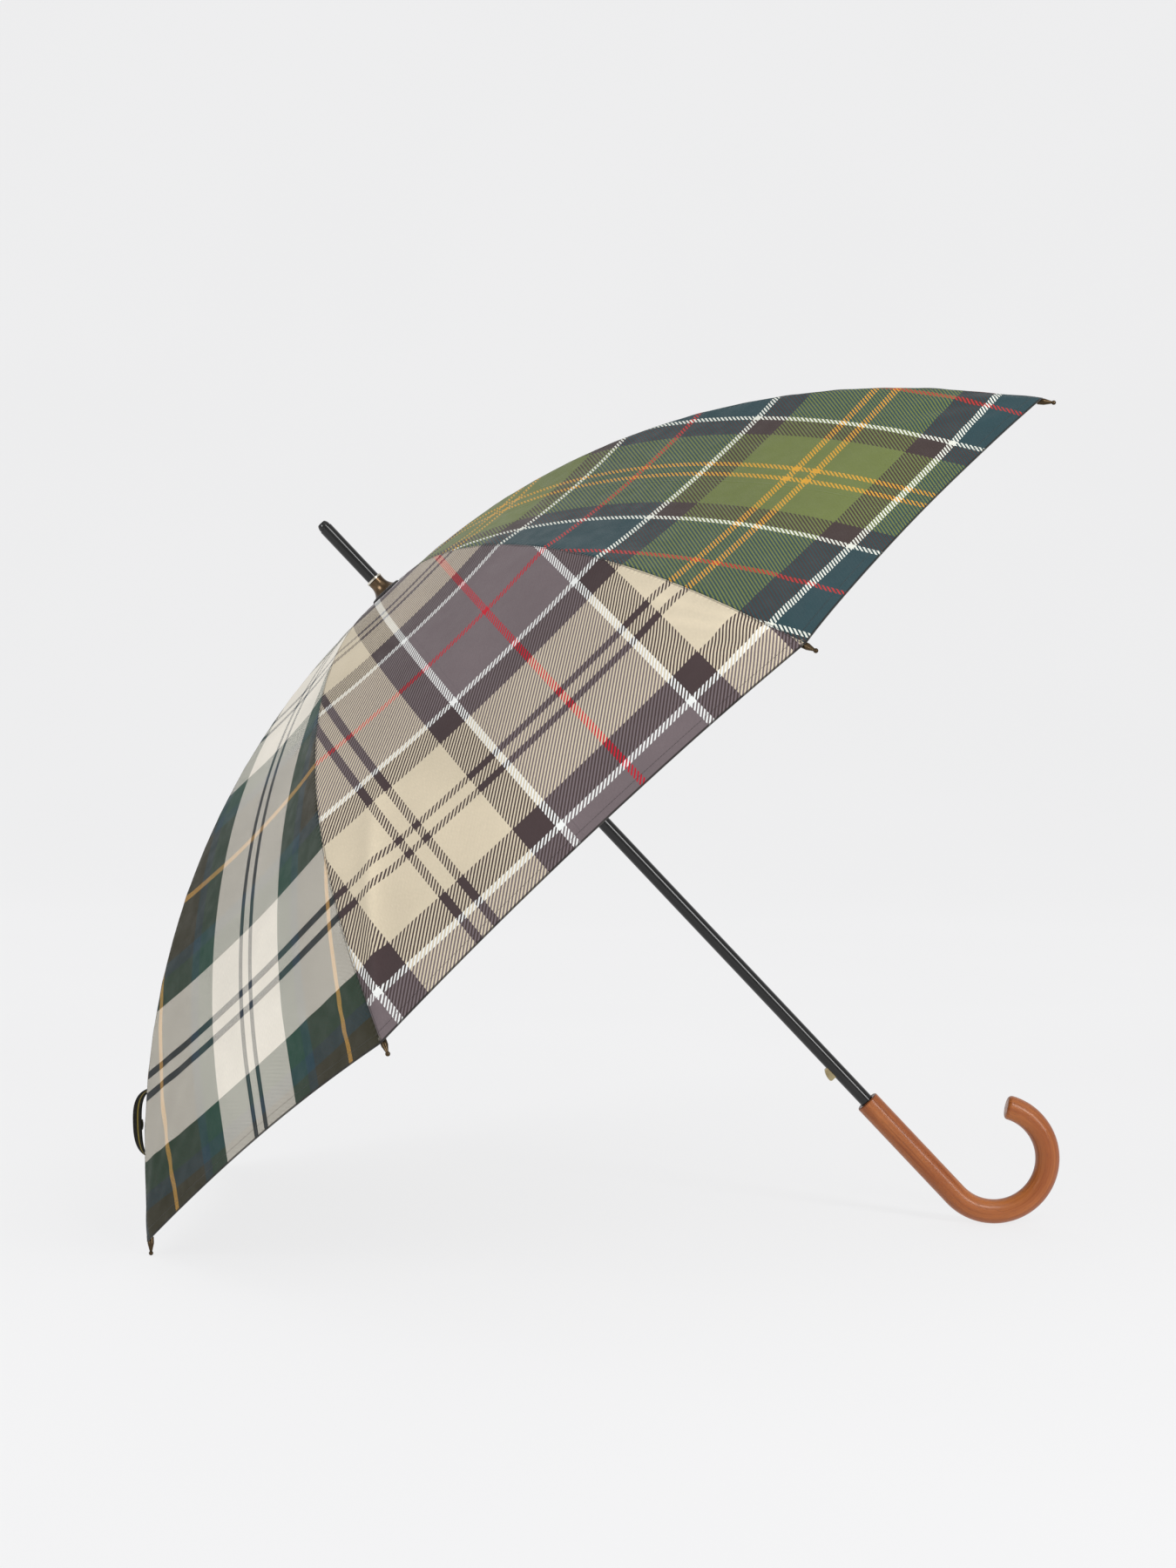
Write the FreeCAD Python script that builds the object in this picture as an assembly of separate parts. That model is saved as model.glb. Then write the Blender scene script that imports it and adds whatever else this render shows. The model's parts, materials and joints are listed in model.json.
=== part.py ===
"""Stick umbrella with eight ribs, open and resting on two rib tips and its crook.

Everything is modelled about the shaft: +Z runs along the shaft towards the ferrule, the rib
pivots lie in Z = 0 and the crook curls towards +X. The finished pieces are then tilted so
that two rib tips and the crook stand on one floor, with the origin at the middle of the
bounding box's base. Sizes are in millimetres and degrees.
"""
import FreeCAD, Part
import math
import os
from dataclasses import dataclass

from FreeCAD import Vector

# ribs and linkage
RIB_COUNT = 8
RIB_BEND_RADIUS = 647.5
RIB_BEND_ANGLE = 48.0
RIB_TAIL = 66.0
RIB_WIDTH = 3.0
RIB_HEIGHT = 2.6
RIB_WALL = 0.55
RIB_EYE_RADIUS = 1.7
RIB_TONGUE = 1.4
PIVOT_RADIUS = 9.5
WIRE_RADIUS = 0.65
STRETCHER_WIDTH = 2.6
STRETCHER_HEIGHT = 2.4
STRETCHER_EYE_RADIUS = 1.6
JOINT_ALONG_RIB = 272.0
JOINT_DROP = 3.8
JOINT_LENGTH = 9.0
JOINT_PLATE = 0.7
CLOSED_TIP_RADIUS = 16.0

# rib tips
TIP_BALL_RADIUS = 1.8
TIP_SOCKET_RADIUS = 2.6
TIP_NECK_RADIUS = 1.05
TIP_LENGTH = 12.7

# canopy
FABRIC_THICKNESS = 0.8
FABRIC_LIFT = 2.2
HEM_SETBACK = 13.0
HEM_SCALLOP = 14.0
PANEL_GAP = 0.15

# shaft, crown and ferrule
SHAFT_DIAMETER = 12.0
SHAFT_WALL = 0.9
HUB_RADIUS = 11.0
HUB_TOP = 2.9
HUB_BOTTOM = -4.4
HUB_SLOT_FLOOR = 7.3
ROSETTE_RADIUS = 13.2
ROSETTE_TOP = 5.1
CUP_RIM_RADIUS = 11.7
CUP_NECK_RADIUS = 6.9
CUP_HEIGHT = 13.8
CUP_WALL = 0.8
NECK_RING_RADIUS = 7.5
NECK_RING_HEIGHT = 2.2
FERRULE_DIAMETER = 11.6
FERRULE_WAIST = 11.2
FERRULE_WALL = 1.6
FERRULE_END = 86.6
FERRULE_TIP_HEIGHT = 6.8
FERRULE_TIP_END_RADIUS = 4.45
PIN_RADIUS = 0.8

# runner
RUNNER_FLANGE_RADIUS = 11.2
RUNNER_FLANGE_HALF = 4.0
RUNNER_SLEEVE_RADIUS = 7.4
RUNNER_SLEEVE_LENGTH = 34.0
STOP_PIN_RADIUS = 1.0
STOP_PIN_PROUD = 2.2

# handle
HANDLE_DIAMETER = 21.0
HANDLE_TOP = 603.0
HANDLE_STRAIGHT = 113.0
CROOK_RADIUS = 46.4
CROOK_SWEEP = 214.0
CROOK_END_ROUND = 3.5
HANDLE_TOP_ROUND = 1.6
SHAFT_IN_HANDLE = 32.0

# release button
BUTTON_FROM_HANDLE = 39.5
BUTTON_LENGTH = 11.0
BUTTON_WIDTH = 6.0
BUTTON_PROUD = 5.0
BUTTON_TRAVEL = 3.0
BUTTON_FLANGE = 1.4
SPRING_STRIP = 0.5
SPRING_WIDTH = 4.0
SPRING_LENGTH = 28.0

# closing strap
STRAP_RIB = 4
STRAP_FROM_RIB = 8.5
STRAP_ABOVE_TIP = 92.0
STRAP_LOOP_LENGTH = 60.0
STRAP_LOOP_DEPTH = 16.0
STRAP_WIDTH = 14.0
STRAP_THICKNESS = 1.2
STRAP_CORNER = 12.0
POPPER_RADIUS = 4.5
POPPER_THICKNESS = 1.2

# clearances
PRESS_GAP = 0.02
SLIDE_GAP = 0.08
PIVOT_GAP = 0.05
SIDE_GAP = 0.3
SOFT_GAP = 0.3
SEAT_GAP = 0.1

SHAFT_R = SHAFT_DIAMETER / 2
SHAFT_BORE = SHAFT_R - SHAFT_WALL
HANDLE_R = HANDLE_DIAMETER / 2
HALF_STEP = 180.0 / RIB_COUNT
RIB_LENGTH = RIB_BEND_RADIUS * math.radians(RIB_BEND_ANGLE) + RIB_TAIL
X_AXIS, Y_AXIS, Z_AXIS = Vector(1, 0, 0), Vector(0, 1, 0), Vector(0, 0, 1)


def rib_angle(number: int) -> float:
    """Angle of a rib about the shaft; rib 1 is on the upper front side and 4 and 5 are lowest."""
    return 360.0 + HALF_STEP - 2 * HALF_STEP * number


def rib_point(along: float, lift: float = 0.0) -> Vector:
    """Point at a length along the rib in its own plane, raised off its centre line by lift."""
    turn = min(along / RIB_BEND_RADIUS, math.radians(RIB_BEND_ANGLE))
    tail = max(along - RIB_BEND_RADIUS * math.radians(RIB_BEND_ANGLE), 0.0)
    x = PIVOT_RADIUS + (RIB_BEND_RADIUS + lift) * math.sin(turn) + tail * math.cos(turn)
    z = (RIB_BEND_RADIUS + lift) * math.cos(turn) - RIB_BEND_RADIUS - tail * math.sin(turn)
    return Vector(x, 0, z)


def rib_slope(along: float) -> float:
    """How far the rib has turned downwards at a length along it, in degrees."""
    return min(math.degrees(along / RIB_BEND_RADIUS), RIB_BEND_ANGLE)


@dataclass(frozen=True)
class Linkage:
    """Where the pivots of one rib and its stretcher lie, and how far they turn to close."""

    joint: Vector
    length: float
    open_angle: float
    fold: float
    runner: float
    travel: float


def solve_linkage() -> Linkage:
    """Stretcher and rib are the equal sides of a triangle whose base lies along the shaft."""
    pivot = Vector(PIVOT_RADIUS, 0, 0)
    joint = rib_point(JOINT_ALONG_RIB, -JOINT_DROP)
    arm = joint - pivot
    open_angle = math.degrees(math.atan2(arm.x, -arm.z))
    reach = rib_point(RIB_LENGTH) - pivot
    tip_angle = math.degrees(math.atan2(reach.x, -reach.z))
    closed = math.degrees(math.asin((CLOSED_TIP_RADIUS - PIVOT_RADIUS) / reach.Length))
    fold = tip_angle - closed
    runner = 2 * arm.Length * math.cos(math.radians(open_angle))
    shut = 2 * arm.Length * math.cos(math.radians(open_angle - fold))
    return Linkage(joint, arm.Length, open_angle, fold, runner, shut - runner)


LINKAGE = solve_linkage()


def resting_tilt() -> float:
    """Slope of the shaft, in degrees, when two rib tips and the crook touch one level floor."""
    tip = rib_point(RIB_LENGTH)
    along = HANDLE_TOP + HANDLE_STRAIGHT + tip.z
    across = tip.x * math.cos(math.radians(HALF_STEP)) + CROOK_RADIUS
    lower = TIP_BALL_RADIUS - CROOK_RADIUS - HANDLE_R
    slope = math.atan2(across, along) + math.asin(lower / math.hypot(along, across))
    return math.degrees(slope)


def turned(shape, angle: float, axis: Vector = Z_AXIS, centre: Vector = Vector()):
    """A copy of a shape turned about an axis."""
    copy = shape.copy()
    copy.rotate(centre, axis, angle)
    return copy


def revolved(points):
    """Solid of revolution about the shaft from a closed outline of (radius, height) points."""
    outline = [Vector(r, 0, z) for r, z in points]
    face = Part.Face(Part.makePolygon(outline + outline[:1]))
    return face.revolve(Vector(), Z_AXIS, 360)


def tube(outer: float, inner: float, low: float, high: float):
    """Plain tube about the shaft's axis."""
    return revolved([(inner, low), (outer, low), (outer, high), (inner, high)])


def disc_stack(radius: float, low: float, high: float):
    """Solid cylinder about the shaft's axis."""
    return Part.makeCylinder(radius, high - low, Vector(0, 0, low))


def block(low: Vector, high: Vector):
    """Box between two corners."""
    size = high - low
    return Part.makeBox(size.x, size.y, size.z, low)


def cross_pin(radius: float, half_length: float, centre: Vector, axis: Vector):
    """Straight pin centred on a point."""
    return Part.makeCylinder(radius, 2 * half_length, centre - axis * half_length, axis)


def channel_outline(width: float, height: float, wall: float):
    """Face of a U section in the YZ plane at the origin, open downwards."""
    w, h = width / 2, height / 2
    corners = [(-w, -h), (-w + wall, -h), (-w + wall, h - wall), (w - wall, h - wall)]
    corners += [(w - wall, -h), (w, -h), (w, h), (-w, h)]
    points = [Vector(0, y, z) for y, z in corners]
    return Part.Face(Part.makePolygon(points + points[:1]))


# --- crown -----------------------------------------------------------------------------


def make_shaft_tube():
    """Steel tube from inside the ferrule's cup down into the handle."""
    bottom = -HANDLE_TOP - SHAFT_IN_HANDLE
    body = tube(SHAFT_R, SHAFT_BORE, bottom, FERRULE_SEAT)
    slot_half = BUTTON_LENGTH / 2 + SIDE_GAP
    slot_side = BUTTON_WIDTH / 2 + SIDE_GAP
    slot = block(
        Vector(-2 * SHAFT_R, -slot_side, BUTTON_Z - slot_half),
        Vector(0, slot_side, BUTTON_Z + slot_half),
    )
    notch_hole = cross_pin(PIN_RADIUS + PRESS_GAP, SHAFT_DIAMETER, Vector(0, 0, PIN_Z), X_AXIS)
    stop_hole = cross_pin(
        STOP_PIN_RADIUS + PRESS_GAP, SHAFT_DIAMETER, Vector(0, 0, STOP_PIN_Z), Y_AXIS
    )
    return body.cut([slot, notch_hole, stop_hole])


def make_top_notch():
    """Hub with eight radial slots for the ribs' eyes and an outer groove for the wire."""
    hub = tube(HUB_RADIUS, SHAFT_R + PRESS_GAP, HUB_BOTTOM, HUB_TOP)
    slot_side = RIB_TONGUE / 2 + SIDE_GAP / 2
    slot = block(
        Vector(HUB_SLOT_FLOOR, -slot_side, HUB_BOTTOM - 1),
        Vector(HUB_RADIUS + 1, slot_side, HUB_TOP + 1),
    )
    slots = [turned(slot, rib_angle(k)) for k in range(1, RIB_COUNT + 1)]
    wire_space = WIRE_RADIUS + PRESS_GAP
    groove = tube(HUB_RADIUS + 1, PIVOT_RADIUS - wire_space, -wire_space, wire_space)
    pin_hole = cross_pin(PIN_RADIUS + PRESS_GAP, HUB_RADIUS + 1, Vector(0, 0, PIN_Z), X_AXIS)
    return hub.cut(slots + [groove, pin_hole])


def make_notch_wire():
    """Ring of wire that the eight rib eyes turn on."""
    return Part.makeTorus(PIVOT_RADIUS, WIRE_RADIUS)


def make_notch_pin():
    """Pin that fixes the top notch to the shaft."""
    return cross_pin(PIN_RADIUS, HUB_RADIUS - SEAT_GAP, Vector(0, 0, PIN_Z), X_AXIS)


def make_stop_pin():
    """Pin that the open runner stands against."""
    return cross_pin(
        STOP_PIN_RADIUS, SHAFT_R + STOP_PIN_PROUD, Vector(0, 0, STOP_PIN_Z), Y_AXIS
    )


def make_rosette():
    """Fabric disc that covers the gathered centre of the canopy."""
    under = FABRIC_LIFT + FABRIC_THICKNESS + SOFT_GAP
    inner = SHAFT_R + PRESS_GAP
    step = HUB_RADIUS - SEAT_GAP
    edge = (ROSETTE_TOP - under) / 3
    outline = [(inner, HUB_TOP), (step, HUB_TOP), (step, under), (ROSETTE_RADIUS - edge, under)]
    outline += [(ROSETTE_RADIUS, under + edge), (ROSETTE_RADIUS, ROSETTE_TOP - edge)]
    outline += [(ROSETTE_RADIUS - edge, ROSETTE_TOP), (inner, ROSETTE_TOP)]
    return revolved(outline)


def bell_curve(rim: float, neck: float, low: float, high: float):
    """Arc that flares from a neck to a rim, as an edge in the XZ plane."""
    middle = Vector(neck + 0.3 * (rim - neck), 0, low + 0.36 * (high - low))
    return Part.Arc(Vector(rim, 0, low), middle, Vector(neck, 0, high)).toShape()


def make_ferrule_cup():
    """Flared metal cup that presses the rosette down."""
    foot = CUP_BOTTOM + CUP_WALL
    top = CUP_BOTTOM + CUP_HEIGHT
    shoulder = top - 2.0
    bore = FERRULE_WAIST / 2 + SEAT_GAP
    outer = bell_curve(CUP_RIM_RADIUS, CUP_NECK_RADIUS, foot, shoulder)
    inner = bell_curve(CUP_RIM_RADIUS - CUP_WALL, bore, CUP_BOTTOM, shoulder - CUP_WALL)
    corners = [(CUP_NECK_RADIUS, shoulder), (CUP_NECK_RADIUS, top), (bore, top)]
    corners += [(bore, shoulder - CUP_WALL)]
    upper = Part.makePolygon([Vector(r, 0, z) for r, z in corners])
    base = [(CUP_RIM_RADIUS - CUP_WALL, CUP_BOTTOM), (CUP_RIM_RADIUS, CUP_BOTTOM)]
    base += [(CUP_RIM_RADIUS, foot)]
    lower = Part.makePolygon([Vector(r, 0, z) for r, z in base])
    edges = Part.sortEdges(lower.Edges + [outer] + upper.Edges + [inner])[0]
    return Part.Face(Part.Wire(edges)).revolve(Vector(), Z_AXIS, 360)


def make_cup_ring():
    """Bright rounded ring at the cup's neck."""
    low = CUP_BOTTOM + CUP_HEIGHT
    bore = FERRULE_WAIST / 2 + SEAT_GAP
    ease = 0.5
    outline = [(bore, low), (NECK_RING_RADIUS - ease, low), (NECK_RING_RADIUS, low + ease)]
    outline += [(NECK_RING_RADIUS, low + NECK_RING_HEIGHT - ease)]
    outline += [(NECK_RING_RADIUS - ease, low + NECK_RING_HEIGHT), (bore, low + NECK_RING_HEIGHT)]
    return revolved(outline)


def make_ferrule():
    """Tube that stands out past the crown, waisted inside the cup, plugged into the shaft."""
    outer = FERRULE_DIAMETER / 2
    waist = FERRULE_WAIST / 2
    spigot = SHAFT_BORE - PRESS_GAP
    bore = outer - FERRULE_WALL
    top = FERRULE_END - FERRULE_TIP_HEIGHT
    outline = [(bore, SPIGOT_BOTTOM), (spigot, SPIGOT_BOTTOM), (spigot, FERRULE_SEAT)]
    outline += [(waist, FERRULE_SEAT), (waist, FERRULE_SHOULDER), (outer, FERRULE_SHOULDER)]
    outline += [(outer, top), (bore, top)]
    return revolved(outline)


def make_ferrule_tip():
    """Cap with a small lip and a rounded end, plugged into the ferrule."""
    base = FERRULE_END - FERRULE_TIP_HEIGHT
    plug = FERRULE_DIAMETER / 2 - FERRULE_WALL - PRESS_GAP
    lip = FERRULE_DIAMETER / 2
    start = Vector(lip - 0.6, 0, base + 1.3)
    finish = Vector(FERRULE_TIP_END_RADIUS - 0.8, 0, FERRULE_END)
    middle = Vector(FERRULE_TIP_END_RADIUS + 0.15, 0, FERRULE_END - 1.5)
    crown = Part.Arc(start, middle, finish).toShape()
    before = [(0, base - 8), (plug, base - 8), (plug, base), (lip, base), (lip, base + 1.0)]
    lower = Part.makePolygon([Vector(r, 0, z) for r, z in before] + [start])
    close = Part.makePolygon([finish, Vector(0, 0, FERRULE_END), Vector(0, 0, base - 8)])
    edges = Part.sortEdges(lower.Edges + [crown] + close.Edges)[0]
    return Part.Face(Part.Wire(edges)).revolve(Vector(), Z_AXIS, 360)


# --- runner and button ----------------------------------------------------------------


def make_runner():
    """Sliding runner: a slotted flange for the stretchers over a plain sleeve."""
    bore = SHAFT_R + SLIDE_GAP
    centre = -LINKAGE.runner
    flange = tube(
        RUNNER_FLANGE_RADIUS, bore, centre - RUNNER_FLANGE_HALF, centre + RUNNER_FLANGE_HALF
    )
    sleeve = tube(RUNNER_SLEEVE_RADIUS, bore, centre - RUNNER_SLEEVE_LENGTH, centre)
    slot_side = STRETCHER_WIDTH / 2 + SIDE_GAP
    slot = block(
        Vector(RUNNER_SLEEVE_RADIUS, -slot_side, centre - RUNNER_FLANGE_HALF - 1),
        Vector(RUNNER_FLANGE_RADIUS + 1, slot_side, centre + RUNNER_FLANGE_HALF + 1),
    )
    slots = [turned(slot, rib_angle(k)) for k in range(1, RIB_COUNT + 1)]
    return flange.fuse(sleeve).removeSplitter().cut(slots)


def make_release_button():
    """Wedge-shaped button that stands out of the shaft, with a flange that keeps it in."""
    half = BUTTON_LENGTH / 2
    top = SHAFT_R + BUTTON_PROUD
    foot = SHAFT_BORE - 2.6
    flange_top = math.sqrt(SHAFT_BORE**2 - (BUTTON_WIDTH / 2) ** 2) - SEAT_GAP
    slope = Part.Arc(
        Vector(-top, 0, BUTTON_Z - half + 1.2),
        Vector(-top + 0.5, 0, BUTTON_Z + 0.15 * half),
        Vector(-top + 3.0, 0, BUTTON_Z + half),
    ).toShape()
    lower = [(top, -half + 1.2), (top - 1.2, -half), (flange_top, -half)]
    lower += [(flange_top, -half - BUTTON_FLANGE), (foot, -half - BUTTON_FLANGE)]
    lower += [(foot, half + BUTTON_FLANGE), (flange_top, half + BUTTON_FLANGE)]
    lower += [(flange_top, half), (top - 3.0, half)]
    rest = Part.makePolygon([Vector(-r, 0, BUTTON_Z + z) for r, z in lower])
    outline = Part.Wire(Part.sortEdges([slope] + rest.Edges)[0])
    face = Part.Face(outline)
    face.translate(Vector(0, -BUTTON_WIDTH / 2, 0))
    return face.extrude(Vector(0, BUTTON_WIDTH, 0))


def make_button_spring():
    """Leaf spring folded like a V, between the button's foot and the far wall of the shaft."""
    wall = math.sqrt(SHAFT_BORE**2 - (SPRING_WIDTH / 2) ** 2) - SEAT_GAP
    foot = SHAFT_BORE - 2.6
    near = BUTTON_Z - 2.0
    far = near + SPRING_LENGTH
    strip = SPRING_STRIP
    outline = [(-foot + SEAT_GAP, near), (-foot + SEAT_GAP, near + 4.0), (wall - 3 * strip, far)]
    outline += [(wall, far), (wall, near + 4.0), (wall - strip, near + 4.0)]
    outline += [(wall - strip, far - strip), (wall - 2.4 * strip, far - strip)]
    outline += [(-foot + SEAT_GAP + strip, near + 4.0), (-foot + SEAT_GAP + strip, near)]
    points = [Vector(x, -SPRING_WIDTH / 2, z) for x, z in outline]
    face = Part.Face(Part.makePolygon(points + points[:1]))
    return face.extrude(Vector(0, SPRING_WIDTH, 0))


# --- handle ---------------------------------------------------------------------------


def make_handle_crook():
    """Round wooden crook, bored for the shaft, with eased ends."""
    bend = -HANDLE_TOP - HANDLE_STRAIGHT
    straight = disc_stack(HANDLE_R, bend, -HANDLE_TOP)
    rim = [e for e in straight.Edges if abs(e.BoundBox.ZMin + HANDLE_TOP) < 1e-6]
    straight = straight.makeFillet(HANDLE_TOP_ROUND, [rim[0]])
    section = Part.Face(Part.Wire(Part.makeCircle(HANDLE_R, Vector(0, 0, bend), Z_AXIS)))
    crook = section.revolve(Vector(CROOK_RADIUS, 0, bend), Vector(0, -1, 0), CROOK_SWEEP)
    end = turned(section, CROOK_SWEEP, Vector(0, -1, 0), Vector(CROOK_RADIUS, 0, bend))
    middle = end.CenterOfMass
    rims = [e for e in crook.Edges if (e.CenterOfMass - middle).Length < 0.01]
    crook = crook.makeFillet(CROOK_END_ROUND, rims)
    bore = disc_stack(SHAFT_R + PRESS_GAP, -HANDLE_TOP - SHAFT_IN_HANDLE - SEAT_GAP, 0)
    return straight.fuse(crook).removeSplitter().cut(bore)


# --- one rib and what it carries ------------------------------------------------------


def make_rib():
    """Curved U-section rib with a flat eye at its inner end."""
    centre = Vector(PIVOT_RADIUS, 0, -RIB_BEND_RADIUS)
    start = math.degrees(RIB_CHANNEL_START / RIB_BEND_RADIUS)
    section = channel_outline(RIB_WIDTH, RIB_HEIGHT, RIB_WALL)
    section.translate(Vector(PIVOT_RADIUS, 0, 0))
    section = turned(section, start, Y_AXIS, centre)
    bend = section.revolve(centre, Y_AXIS, RIB_BEND_ANGLE - start)
    last = turned(section, RIB_BEND_ANGLE - start, Y_AXIS, centre)
    slope = math.radians(RIB_BEND_ANGLE)
    way = Vector(math.cos(slope), 0, -math.sin(slope))
    tail = last.extrude(way * (RIB_TAIL - RIB_END_SETBACK))
    tongue_half = RIB_TONGUE / 2
    tongue = block(
        Vector(PIVOT_RADIUS, -tongue_half, -RIB_HEIGHT / 2 + RIB_WALL),
        Vector(PIVOT_RADIUS + RIB_CHANNEL_START + 4, tongue_half, RIB_HEIGHT / 2 - 0.2),
    )
    pivot = Vector(PIVOT_RADIUS, 0, 0)
    eye = cross_pin(RIB_EYE_RADIUS, tongue_half, pivot, Y_AXIS)
    hole = cross_pin(WIRE_RADIUS + PIVOT_GAP, RIB_WIDTH, pivot, Y_AXIS)
    return bend.fuse([tail, tongue, eye]).removeSplitter().cut(hole)


def make_rib_tip():
    """Tapered metal tip with a ball end, socketed over the rib's end."""
    ball = TIP_BALL_RADIUS
    neck = TIP_NECK_RADIUS
    neck_at = -math.sqrt(ball**2 - neck**2)
    shoulder = -TIP_LENGTH + 5.0
    dome = Part.Arc(
        Vector(neck, 0, neck_at), Vector(ball, 0, 0), Vector(0, 0, ball)
    ).toShape()
    corners = [(0, ball), (0, -TIP_LENGTH), (TIP_SOCKET_RADIUS, -TIP_LENGTH)]
    corners += [(TIP_SOCKET_RADIUS, shoulder), (neck, neck_at)]
    side = Part.makePolygon([Vector(r, 0, z) for r, z in corners])
    outline = Part.Wire(Part.sortEdges([dome] + side.Edges)[0])
    tip = Part.Face(outline).revolve(Vector(), Z_AXIS, 360)
    space = PRESS_GAP + 0.03
    socket = block(
        Vector(-RIB_HEIGHT / 2 - space, -RIB_WIDTH / 2 - space, -TIP_LENGTH - 1),
        Vector(RIB_HEIGHT / 2 + space, RIB_WIDTH / 2 + space, -RIB_END_SETBACK + SEAT_GAP),
    )
    tip = tip.cut(socket)
    tip.rotate(Vector(), Y_AXIS, 90 + RIB_BEND_ANGLE)
    tip.translate(rib_point(RIB_LENGTH))
    return tip


def make_rib_joint():
    """Clip under the rib: two cheeks, a bridge and the rivet that the stretcher turns on."""
    inner = RIB_WIDTH / 2 + PIVOT_GAP
    outer = inner + JOINT_PLATE
    half = JOINT_LENGTH / 2
    drop = -JOINT_DROP
    cheek = block(Vector(-half, inner, drop), Vector(half, outer, 0.6))
    lobe = Part.makeCylinder(STRETCHER_EYE_RADIUS, JOINT_PLATE, Vector(0, inner, drop), Y_AXIS)
    skirt = block(Vector(-half, inner, drop), Vector(half, outer, drop + JOINT_DROP / 2))
    cheek = cheek.cut(skirt).fuse([lobe, block(
        Vector(-STRETCHER_EYE_RADIUS, inner, drop),
        Vector(STRETCHER_EYE_RADIUS, outer, drop + JOINT_DROP / 2),
    )])
    other = cheek.mirror(Vector(), Y_AXIS)
    under = -RIB_HEIGHT / 2 - PIVOT_GAP
    bridge = block(Vector(-half, -outer, under - JOINT_PLATE + 0.1), Vector(half, outer, under))
    rivet = cross_pin(WIRE_RADIUS, outer + 0.4, Vector(0, 0, drop), Y_AXIS)
    clip = cheek.fuse([other, bridge, rivet]).removeSplitter()
    clip.rotate(Vector(), Y_AXIS, rib_slope(JOINT_ALONG_RIB))
    clip.translate(rib_point(JOINT_ALONG_RIB))
    return clip


def make_stretcher():
    """Straight U-section strut with an eye at each end, from the rib joint to the runner."""
    length = LINKAGE.length
    inset = STRETCHER_EYE_RADIUS + 1.6
    side = STRETCHER_WIDTH / 2
    section = channel_outline(STRETCHER_WIDTH, STRETCHER_HEIGHT, RIB_WALL)
    section.translate(Vector(inset, 0, 0))
    strut = section.extrude(Vector(length - 2 * inset, 0, 0))
    thick = STRETCHER_HEIGHT / 2 - 0.25
    lugs, holes = [], []
    for x, way in ((0.0, 1), (length, -1)):
        lug_end = x + way * (inset + 1.5)
        lugs.append(cross_pin(STRETCHER_EYE_RADIUS, side, Vector(x, 0, 0), Y_AXIS))
        lugs.append(
            block(Vector(min(x, lug_end), -side, -thick), Vector(max(x, lug_end), side, thick))
        )
        holes.append(
            cross_pin(WIRE_RADIUS + PIVOT_GAP, STRETCHER_WIDTH, Vector(x, 0, 0), Y_AXIS)
        )
    strut = strut.fuse(lugs).removeSplitter().cut(holes)
    strut.rotate(Vector(), Y_AXIS, 180 - (90 - LINKAGE.open_angle))
    strut.translate(LINKAGE.joint)
    return strut


def panel_edge(lift: float, flat: float):
    """The panel's line in its middle plane: the rib's curve drawn in towards the shaft."""
    end = RIB_LENGTH - HEM_SETBACK
    reach = RIB_BEND_RADIUS + lift
    centre = Vector(PIVOT_RADIUS * flat, 0, -RIB_BEND_RADIUS)
    ellipse = Part.Ellipse(
        centre + Vector(0, 0, reach), centre + Vector(reach * flat, 0, 0), centre
    )
    first = rib_point((HUB_RADIUS + SOFT_GAP) / flat - PIVOT_RADIUS, lift)
    bend_end = rib_point(RIB_BEND_RADIUS * math.radians(RIB_BEND_ANGLE), lift)
    last = rib_point(end, lift)
    squeeze = [Vector(p.x * flat, 0, p.z) for p in (first, bend_end, last)]
    low, high = sorted(ellipse.parameter(p) for p in squeeze[:2])
    arc = Part.ArcOfEllipse(ellipse, low, high).toShape()
    line = Part.LineSegment(squeeze[1], squeeze[2]).toShape()
    return [arc, line], squeeze[0], squeeze[2]


def make_half_panel():
    """Half a panel on the left of its rib: a bent sheet, flat across, with a hollowed hem."""
    half_step = math.radians(HALF_STEP)
    flat = math.cos(half_step)
    under, under_first, under_last = panel_edge(FABRIC_LIFT, flat)
    over, over_first, over_last = panel_edge(FABRIC_LIFT + FABRIC_THICKNESS, flat)
    ends = [
        Part.LineSegment(under_first, over_first).toShape(),
        Part.LineSegment(under_last, over_last).toShape(),
    ]
    face = Part.Face(Part.Wire(Part.sortEdges(under + over + ends)[0]))
    side = over_last.x * math.tan(half_step)
    face.translate(Vector(0, -PANEL_GAP, 0))
    sheet = face.extrude(Vector(0, -side - 10, 0))
    slope = math.radians(RIB_BEND_ANGLE)
    down = Vector(math.cos(slope) * flat, 0, -math.sin(slope)).normalize()
    out = Vector(-down.z, 0, down.x)
    radius = (side**2 + HEM_SCALLOP**2) / (2 * HEM_SCALLOP)
    centre = under_last + down * (radius - HEM_SCALLOP)
    hollow = Part.makeCylinder(radius, 60, centre - out * 30, out)
    far = 4 * side
    beyond = block(Vector(-far, -far, -far), Vector(far, 0, far))
    beyond.rotate(Vector(), Z_AXIS, -HALF_STEP)
    panel = sheet.cut([hollow, beyond])
    panel.rotate(Vector(), Z_AXIS, HALF_STEP)
    return panel


def make_canopy_gore():
    """The cloth that one rib carries: two half panels sewn together over the rib."""
    left = make_half_panel()
    right = left.mirror(Vector(), Y_AXIS)
    return left.fuse(right).removeSplitter()


# --- strap ----------------------------------------------------------------------------


def rounded_slab(length: float, depth: float, corner: float, width: float):
    """Slab along X that rises to a depth in Z, with its two upper edges rounded."""
    low = -2 * corner
    slab = block(Vector(-length / 2, -width / 2, low), Vector(length / 2, width / 2, depth))
    rims = [
        e
        for e in slab.Edges
        if abs(e.CenterOfMass.z - depth) < 1e-6 and abs(e.CenterOfMass.y) < 1e-6
    ]
    return slab.makeFillet(corner, rims)


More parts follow.
